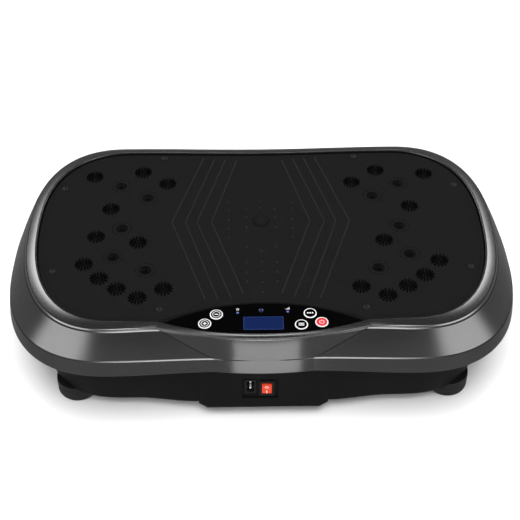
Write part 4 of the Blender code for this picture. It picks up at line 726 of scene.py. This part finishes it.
def make_display():
    """The blue display, with a thin lighter line round it."""
    width, height, y = DISPLAY
    glass = prism(rounded_rectangle(0, y, width, height, 0.7), -7.6, -0.12)
    place("display_glass", on_panel(glass), BLUE, "platform", ("display_window",), 40, 0.15)
    lines = bmesh.new()
    line, margin, low, high = 0.35, 0.45, -0.14, -0.07
    for side in (-1, 1):
        rectangle_mark(lines, (0, y + side * (height / 2 - margin)), width - 0.5, line, low, high)
        rectangle_mark(lines, (side * (width / 2 - margin), y), line, height - 1.2, low, high)
    place("display_frame", on_panel(lines), BLUE_EDGE, "platform")


def make_lamps():
    """Two lamps with the signs over them, and the receiver's window between them."""
    for name, centre in LEDS.items():
        shape = turned(dome(1.3, PARTS_LOW, -0.25, 0.1, 4), (*centre, 0), segments=20)
        place(f"{name}_lens", on_panel(shape), LAMP, "platform", (name,))
    shape = turned(dome(IR_RADIUS, PARTS_LOW, -0.1, 0.7, 6), (*IR_PLACE, 0), segments=32)
    place("ir_dome", on_panel(shape), WINDOW, "platform", ("ir_window",))
    marks = bmesh.new()
    x, y = LEDS["led_left"]
    ring_mark(marks, (x, y + 4.2), 1.0, 1.4, 0, PRINT_TOP, 24)
    rectangle_mark(marks, (x, y + 4.55), 0.3, 0.9, 0, PRINT_TOP)
    rectangle_mark(marks, (x + 0.35, y + 4.2), 0.7, 0.3, 0, PRINT_TOP)
    x, y = LEDS["led_right"]
    for step in range(4):
        rectangle_mark(marks, (x - 1.5 + step, y + 3.0 + 0.3 * step), 0.55, 0.9 + 0.6 * step, 0, PRINT_TOP)
    place("indicator_marks", on_panel(marks), WHITE, "platform")


def key_sign(name, centre):
    """The white sign on a key: minus, plus, three squares, three lines or an on-off sign."""
    x, y = centre
    marks = bmesh.new()

    def mark(spot, width, height, angle=0.0):
        rectangle_mark(marks, spot, width, height, SIGN_LOW, SIGN_HIGH, angle)

    if name in ("button_minus", "button_plus"):
        ring_mark(marks, centre, 3.3, 3.85, SIGN_LOW, SIGN_HIGH)
        mark(centre, 3.6, 0.95)
    if name == "button_plus":
        mark((x, y + 1.14), 0.95, 1.3)
        mark((x, y - 1.14), 0.95, 1.3)
    if name == "button_mode":
        for step in (-1, 0, 1):
            mark((x + 2.3 * step, y), 1.5, 1.5)
    if name == "button_program":
        for step in (-1, 0, 1):
            mark((x, y + 1.35 * step), 5.4, 0.7)
    if name == "button_power":
        steps, radius = 24, 2.2
        for step in range(3, steps - 2):
            angle = math.pi / 2 + 2 * math.pi * step / steps
            mark((x + radius * math.cos(angle), y + radius * math.sin(angle)), 0.6, 0.7, angle)
        mark((x, y + 1.7), 0.6, 2.4)
    return marks


def make_button(name, centre):
    """A round key with its printed ring and a generic sign."""
    spot, body = (*centre, 0), f"{name}_key"
    shoulder, corner = BUTTON_PROUD - KEY_ROUNDING, BUTTON_RADIUS - KEY_ROUNDING
    profile = [(0, KEY_LOW), (KEY_FLANGE, KEY_LOW), (KEY_FLANGE, KEY_FLANGE_TOP)]
    profile += [(BUTTON_RADIUS, KEY_FLANGE_TOP), (BUTTON_RADIUS, shoulder)]
    for step in range(1, 5):
        angle = math.pi / 2 * step / 4
        profile.append((corner + KEY_ROUNDING * math.cos(angle), shoulder + KEY_ROUNDING * math.sin(angle)))
    profile.append((0, BUTTON_PROUD))
    place(f"{name}_cap", on_panel(turned(profile, spot, segments=48)), WHITE, body, (name,))
    low, high = BUTTON_PROUD - 0.1, BUTTON_PROUD + 0.04
    face = turned(((0, low), (KEY_FACE, low), (KEY_FACE, high), (0, high)), spot)
    finish, slot_name = (RED, "key_red") if name == "button_power" else (GLOSS, "gloss_black")
    place(f"{name}_face", on_panel(face), finish, body)
    place(f"{name}_sign", on_panel(key_sign(name, centre)), WHITE, body)


def make_panel():
    make_lens()
    make_display()
    make_lamps()
    for name, centre in BUTTONS.items():
        make_button(name, centre)


# ---------------------------------------------------------------- tub and feet

TUB_WALL, TUB_EDGE, TUB_EDGE_STEPS = 2.5, 5, 6
INNER_FLOOR = FLOOR + TUB_WALL
BOSS_LOW, BOSS_RADIUS, BOSS_TOP = 16.3, 23, 27.3
POCKET_RADIUS, POCKET_TOP, FOOT_SCREW_SHANK = 21.8, 20.3, 2.3
VENT_ROWS, VENT_PITCH, VENT_X, VENT_HALF, VENT_DEPTH = 7, 12, 62, (22, 1.6), 1.1
FEET = {
    f"{depth}_{side}": (sx * FOOT_X, sy * FOOT_Y, 0)
    for depth, sy in (("front", -1), ("rear", 1))
    for side, sx in (("left", -1), ("right", 1))
}


def box_plan(shrink=0.0):
    """The plan of the box that holds the mains panel, with its front corners cut off."""
    front, back = BOX_FRONT + shrink, BOX_FRONT + BOX_LENGTH
    half = BOX_HALF - shrink
    wide, side = half + BOX_CHAMFER[0], front + BOX_CHAMFER[1]
    return ((-half, front), (half, front), (wide, side), (wide, back), (-wide, back), (-wide, side))


def tub_body():
    """The flared tub, solid, with a rounded lower edge."""
    rings = []
    for step in range(TUB_EDGE_STEPS):
        angle = math.pi / 2 * step / TUB_EDGE_STEPS
        pulled = inset(TUB_BOTTOM, TUB_EDGE * (1 - math.sin(angle)))
        rings.append(ring(pulled, FLOOR + TUB_EDGE * (1 - math.cos(angle))))
    rings.append(ring(between(TUB_BOTTOM, TUB_TOP, TUB_EDGE / (TUB_HEIGHT - FLOOR)), FLOOR + TUB_EDGE))
    return skin(rings + [ring(TUB_TOP, TUB_HEIGHT)])


def tub_hollow():
    """The space inside the tub, which goes round the feet's bosses, and the pockets in those."""
    bosses, pockets = bmesh.new(), bmesh.new()
    boss = (
        (0, BOSS_LOW), (BOSS_RADIUS, BOSS_LOW), (BOSS_RADIUS, BOSS_TOP - 1), (BOSS_RADIUS - 1, BOSS_TOP),
        (0, BOSS_TOP),
    )
    pocket = (
        (0, 10), (POCKET_RADIUS, 10), (POCKET_RADIUS, POCKET_TOP), (FOOT_SCREW_SHANK, POCKET_TOP),
        (FOOT_SCREW_SHANK, 28), (0, 28),
    )
    for sx in (-1, 1):
        for sy in (-1, 1):
            spot = (sx * FOOT_X, sy * FOOT_Y, 0)
            turned(boss, spot, work=bosses)
            turned(pocket, spot, work=pockets)
    low, high = inset(TUB_BOTTOM, TUB_EDGE), inset(TUB_TOP, TUB_WALL)
    rings = [ring(low, INNER_FLOOR), ring(high, TUB_HEIGHT), ring(high, TUB_HEIGHT + 2)]
    return trimmed(skin(rings), bosses), pockets


def make_tub():
    """The lower housing: a flared tub, the box for the mains panel and pockets for the feet."""
    tub = place("tub_housing", tub_body(), TUB, "base", ("base_housing",), 35)
    carve(tub, prism(box_plan(), FLOOR, TUB_HEIGHT), "UNION")
    hollow, pockets = tub_hollow()
    carve(tub, hollow)
    carve(tub, prism(box_plan(TUB_WALL), INNER_FLOOR, TUB_HEIGHT + 2))
    carve(tub, pockets)
    carve(tub, prism(rounded_rectangle(*PLATE, 1.0), BOX_FRONT - 3, BOX_FRONT + 4, "Y"))
    vents = bmesh.new()
    half_length, half_width = VENT_HALF
    for row in range(VENT_ROWS):
        y = VENT_PITCH * (row - (VENT_ROWS - 1) / 2)
        for x in (-VENT_X, VENT_X):
            block((x - half_length, y - half_width, FLOOR - 1),
                  (x + half_length, y + half_width, FLOOR + VENT_DEPTH), vents)
    carve(tub, vents)
    round_edges(tub, 0.5, 2, 38)


def foot_profile():
    """A rubber foot with a hole for its screw, rings under it, a round shoulder and a groove."""
    profile = [(FOOT_SCREW_SHANK, FOOT_HEIGHT), (FOOT_SCREW_SHANK, 8), (4.5, 8), (4.5, 0.6), (5.1, 0)]
    profile += [(9, 0), (9.4, 0.5), (10.6, 0.5), (11, 0), (14, 0), (14.4, 0.5), (15.4, 0.5), (15.8, 0)]
    shoulder, waist = 5, FOOT_RADIUS - 0.4
    for step in range(7):
        angle = math.pi / 2 * step / 6
        out, up = shoulder * math.sin(angle), shoulder * (1 - math.cos(angle))
        profile.append((FOOT_RADIUS - shoulder + out, up))
    profile += [(FOOT_RADIUS, 9), (waist, 9.5), (waist, 10.3), (FOOT_RADIUS, 10.8)]
    return profile + [(FOOT_RADIUS, FOOT_HEIGHT - 0.5), (waist, FOOT_HEIGHT)]


def make_feet():
    """The four rubber feet, each with a screw up its middle."""
    screw = [(0, 4.6), (3.4, 4.3), (3.9, 4.5), (4.2, 5.0), (4.2, 7.7), (2, 7.7), (2, 25), (0, 25)]
    for name, spot in FEET.items():
        place(f"foot_pad_{name}", turned(foot_profile(), spot, segments=64), FOOT_RUBBER, "base",
              (f"foot_{name}",))
        head = place(f"foot_screw_head_{name}", turned(screw, spot, segments=32), STEEL, "base",
                     (f"foot_screw_{name}",))
        carve(head, prism(plus_sign(spot, 2.4, 0.4), 3, 6))


# ---------------------------------------------------------------- mains panel

PANEL_THICKNESS = 2.5
SOCKET_DEPTH, PIN_BORE, PIN_SPACING, PIN_LENGTH = 11, 4.1, 8.6, 9
SWITCH_BODY = (13, 18.8)
ROCKER_RADIUS, ROCKER_HALF_WIDTH, ROCKER_SPREAD, ROCKER_REST = 7.5, 5.0, 65, 9
ROCKER_FACE, FACE_LEAN = 2.86, math.atan2(0.67, 6.8)


def make_plate():
    """The plate on the front of the box, with a window each for the inlet and the switch."""
    x, z, width, height = PLATE
    outer = rounded_rectangle(x, z, width + 5, height + 5, 1.5)
    plate = place("mains_plate", prism(outer, PANEL_FACE_Y, PANEL_FACE_Y + PANEL_THICKNESS, "Y"),
                  PLATE_BLACK, "base", ("power_panel",))
    windows = bmesh.new()
    for part_x, part_z, part_width, part_height in (INLET[:4], (*SWITCH[:2], *SWITCH_BODY)):
        outline = rounded_rectangle(part_x, part_z, part_width + 0.6, part_height + 0.6, 0.6)
        prism(outline, PANEL_FACE_Y - 2, PANEL_FACE_Y + 5, "Y", windows)
    carve(plate, windows)


def make_inlet():
    """The mains socket: two bores joined by a slot, with a pin in each."""
    x, z, width, height, front = INLET
    floor = front + SOCKET_DEPTH
    body = prism(rounded_rectangle(x, z, width, height, 1.2), front, front + 16, "Y")
    inlet = place("inlet_body", body, DARK, "base", ("power_inlet",))
    carve(inlet, prism(rounded_rectangle(x, z, 5.5, PIN_SPACING, 0.3), front - 1, floor, "Y"))
    pins = {"lower": z - PIN_SPACING / 2, "upper": z + PIN_SPACING / 2}
    for pin_z in pins.values():
        profile = ((0, front - 1), (PIN_BORE, front - 1), (PIN_BORE, floor), (0, floor))
        carve(inlet, turned(profile, (x, 0, pin_z), "Y"))
    round_edges(inlet, 0.35)
    tip = floor - PIN_LENGTH
    pin = ((0, floor + 1), (1.2, floor + 1), (1.2, tip + 0.7), (1.0, tip + 0.2), (0.5, tip), (0, tip))
    # The near-white pin colour paints the glint on the pins.
    for name, pin_z in pins.items():
        place(f"inlet_contact_{name}", turned(pin, (x, 0, pin_z), "Y", 24), NICKEL_PAINTED_GLINT, "base",
              (f"inlet_pin_{name}",))


def make_switch():
    """The switch's body, with a bezel in front of the plate and a well for the rocker."""
    x, z, width, height, front = SWITCH
    bezel = prism(rounded_rectangle(x, z, width, height, 0.8), front, front + 1.6, "Y")
    switch = place("switch_bezel", bezel, DARK, "base", ("switch_body",))
    carve(switch, prism(rounded_rectangle(x, z, *SWITCH_BODY, 0.5), front + 0.8, front + 15.6, "Y"), "UNION")
    carve(switch, prism(rounded_rectangle(x, z, 10.8, 15.8, 0.4), front - 1, front + 9, "Y"))
    round_edges(switch, 0.4)


def rocker_sign(shape, height, lean):
    """A sign set on one half of the rocker's face."""
    matrix = Matrix.Translation((0, -ROCKER_FACE * MM, height * MM)) @ Matrix.Rotation(lean, 4, "X")
    bmesh.ops.transform(shape, matrix=matrix, verts=shape.verts)
    return shape


def make_rocker():
    """The red rocker in its on position: a face folded in the middle, in front of a round back."""
    spread = math.radians(ROCKER_SPREAD)
    arc = []
    for step in range(9):
        angle = spread + (math.pi - 2 * spread) * step / 8
        arc.append((-ROCKER_RADIUS * math.cos(angle), ROCKER_RADIUS * math.sin(angle)))
    profile = [(-2.5, 0)] + arc + [(y, -z) for y, z in reversed(arc)]
    rest = Matrix.Translation(ROCKER_AXIS) @ Matrix.Rotation(math.radians(ROCKER_REST), 4, "X")
    cap = prism(profile, -ROCKER_HALF_WIDTH, ROCKER_HALF_WIDTH, "X")
    bmesh.ops.transform(cap, matrix=rest, verts=cap.verts)
    place("rocker_cap", cap, ROCKER_RED, "power_rocker", ("rocker_button",), 25, 0.4)

    signs = bmesh.new()
    off = turned(((1.3, 0.1), (2.0, 0.1), (2.0, -0.12), (1.3, -0.12)), (0, 0, 0), "Y", 32)
    on = block((-0.42, -0.12, -1.9), (0.42, 0.1, 1.9))
    for shape in (rocker_sign(off, 4.1, FACE_LEAN), rocker_sign(on, -3.9, -FACE_LEAN)):
        mesh = bpy.data.meshes.new("sign")
        shape.to_mesh(mesh)
        shape.free()
        signs.from_mesh(mesh)
        bpy.data.meshes.remove(mesh)
    bmesh.ops.transform(signs, matrix=rest, verts=signs.verts)
    place("rocker_signs", signs, WHITE, "power_rocker")


def make_mains():
    make_plate()
    make_inlet()
    make_switch()
    make_rocker()


# ---------------------------------------------------------------- inner parts

INNER = (
    (PAINTED, ("chassis_frame", "platform_frame", "motor_bracket")),
    (STEEL, ("motor_housing", "motor_shaft", "pivot_shaft", "wrist_pin", "crank_shaft", "connecting_rod",
             "pivot_bearing_front", "pivot_bearing_rear", "crank_bearing_front", "crank_bearing_rear")),
    (ALLOY, ("pivot_block_front", "pivot_block_rear", "crank_block_front", "crank_block_rear",
             "motor_pulley", "driven_pulley")),
    (BELT_RUBBER, ("drive_belt",)),
    (BOARD, ("power_board", "control_board")),
    (LOOM, ("wiring_loom",)),
    (WOOD, ("deck_board",)),
    (DARK, ("control_housing",)),
)


def finish_inner():
    """The pieces inside keep their CAD shapes and get their finishes."""
    for finish, names in INNER:
        for name in names:
            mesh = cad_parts[name].data
            mesh.materials.clear()
            mesh.materials.append(finish)


# ---------------------------------------------------------------- studio

FLOOR_REACH = 30


def make_floor():
    work = bmesh.new()
    bmesh.ops.create_grid(work, x_segments=1, y_segments=1, size=FLOOR_REACH)
    mesh = bpy.data.meshes.new("floor")
    work.to_mesh(mesh)
    work.free()
    made = bpy.data.materials.new("floor_white")
    made.use_nodes = True
    shader = made.node_tree.nodes["Principled BSDF"]
    shader.inputs["Base Color"].default_value = (0.92, 0.92, 0.92, 1)
    shader.inputs["Roughness"].default_value = 0.9
    shader.inputs["Specular IOR Level"].default_value = 0.1
    mesh.materials.append(made)
    floor = bpy.data.objects.new("floor", mesh)
    bpy.context.scene.collection.objects.link(floor)
    floor.visible_glossy = False


# The soft lights that the satin shell mirrors. Azimuth runs from the front (0) round either side to the
# back (180), and height is the sine of the elevation. Each holds its strength, then (from, to, feather)
# in azimuth and in height.
SOFT_LIGHTS = (
    (1.8, (32, 74, 16), (-0.04, 0.4, 0.1)),
    (4.6, (144, 160, 6), (0.54, 0.76, 0.08)),
    (4.2, (0, 9, 8), (0.68, 0.88, 0.06)),
)
HORIZON_LIGHT, UPPER_LIGHT, UPPER_HEIGHT = 0.23, 0.075, 0.35
SUN_STRENGTH, SUN_ANGLE, SUN_TILT = 3.3, math.radians(50), 14
CARD_POWER, CARD_SIZE, CARD_PLACE = 0.0195, (0.086, 0.06), (0.005, -0.215, 0.06)


def window(tree, value, low, high, feather):
    """1 between low and high, easing to 0 over the feather outside them."""
    sides = []
    for edge, outer in ((low, low - feather), (high, high + feather)):
        node = tree.nodes.new("ShaderNodeMapRange")
        node.interpolation_type = "SMOOTHSTEP"
        node.inputs["From Min"].default_value = outer
        node.inputs["From Max"].default_value = edge
        tree.links.new(value, node.inputs["Value"])
        sides.append(node.outputs["Result"])
    return combine(tree, "MULTIPLY", *sides)


def combine(tree, operation, first, second):
    node = tree.nodes.new("ShaderNodeMath")
    node.operation = operation
    for value, socket in zip((first, second), node.inputs):
        if isinstance(value, (int, float)):
            socket.default_value = value
        else:
            tree.links.new(value, socket)
    return node.outputs["Value"]


def make_world():
    """Even light that fades upward, with the soft lights added to it."""
    world = bpy.data.worlds.new("studio")
    bpy.context.scene.world = world
    world.use_nodes = True
    tree = world.node_tree
    coords = tree.nodes.new("ShaderNodeTexCoord")
    split = tree.nodes.new("ShaderNodeSeparateXYZ")
    tree.links.new(coords.outputs["Generated"], split.inputs["Vector"])
    across = combine(tree, "ABSOLUTE", split.outputs["X"], 0)
    ahead = combine(tree, "MULTIPLY", split.outputs["Y"], -1)
    azimuth = combine(tree, "MULTIPLY", combine(tree, "ARCTAN2", across, ahead), 180 / math.pi)
    height = split.outputs["Z"]
    base = tree.nodes.new("ShaderNodeMapRange")
    ramp = (("From Min", 0), ("From Max", UPPER_HEIGHT), ("To Min", HORIZON_LIGHT), ("To Max", UPPER_LIGHT))
    for label, value in ramp:
        base.inputs[label].default_value = value
    tree.links.new(height, base.inputs["Value"])
    total = base.outputs["Result"]
    for strength, around, up in SOFT_LIGHTS:
        patch = combine(tree, "MULTIPLY", window(tree, azimuth, *around), window(tree, height, *up))
        total = combine(tree, "ADD", total, combine(tree, "MULTIPLY", patch, strength))
    background = tree.nodes["Background"]
    background.inputs["Color"].default_value = (1, 1, 1, 1)
    tree.links.new(total, background.inputs["Strength"])


def add_light(name, kind, place_at, turn, **settings):
    light = bpy.data.lights.new(name, kind)
    for setting, value in settings.items():
        setattr(light, setting, value)
    obj = bpy.data.objects.new(name, light)
    bpy.context.scene.collection.objects.link(obj)
    obj.location = place_at
    obj.rotation_euler = (math.radians(turn), 0, 0)
    return obj


def make_studio():
    """A pale floor, a wide overhead light, and a small card that lights the middle of the front."""
    make_floor()
    make_world()
    sun = add_light("soft_sun", "SUN", (0, 0, 0), SUN_TILT, energy=SUN_STRENGTH, angle=SUN_ANGLE)
    sun.visible_glossy = False
    width, height = CARD_SIZE
    card = add_light("front_card", "AREA", CARD_PLACE, 90, shape="RECTANGLE", size=width, size_y=height,
                     energy=CARD_POWER)
    card.visible_camera = False
    card.visible_diffuse = False
    bpy.context.scene.view_settings.view_transform = "Standard"


CAMERA_AZIMUTH, CAMERA_ELEVATION, CAMERA_DISTANCE = -1, 42.5, 1.276
CAMERA_LENS, CAMERA_SENSOR, CAMERA_SHIFT, TARGET_HEIGHT = 81.28, 36, (-0.0019, 0.0135), 64.8


def make_camera():
    azimuth, elevation = math.radians(CAMERA_AZIMUTH), math.radians(CAMERA_ELEVATION)
    target = Vector((0, 0, TARGET_HEIGHT * MM))
    back = Vector((
        math.sin(azimuth) * math.cos(elevation),
        -math.cos(azimuth) * math.cos(elevation),
        math.sin(elevation),
    ))
    data = bpy.data.cameras.new("camera")
    data.lens = CAMERA_LENS
    data.sensor_width = CAMERA_SENSOR
    data.shift_x, data.shift_y = CAMERA_SHIFT
    camera = bpy.data.objects.new("camera", data)
    bpy.context.scene.collection.objects.link(camera)
    camera.location = target + back * CAMERA_DISTANCE
    camera.rotation_euler = (-back).to_track_quat("-Z", "Y").to_euler()
    bpy.context.scene.camera = camera


make_shell()
make_mat()
make_panel()
make_tub()
make_feet()
make_mains()
finish_inner()
make_studio()
make_camera()
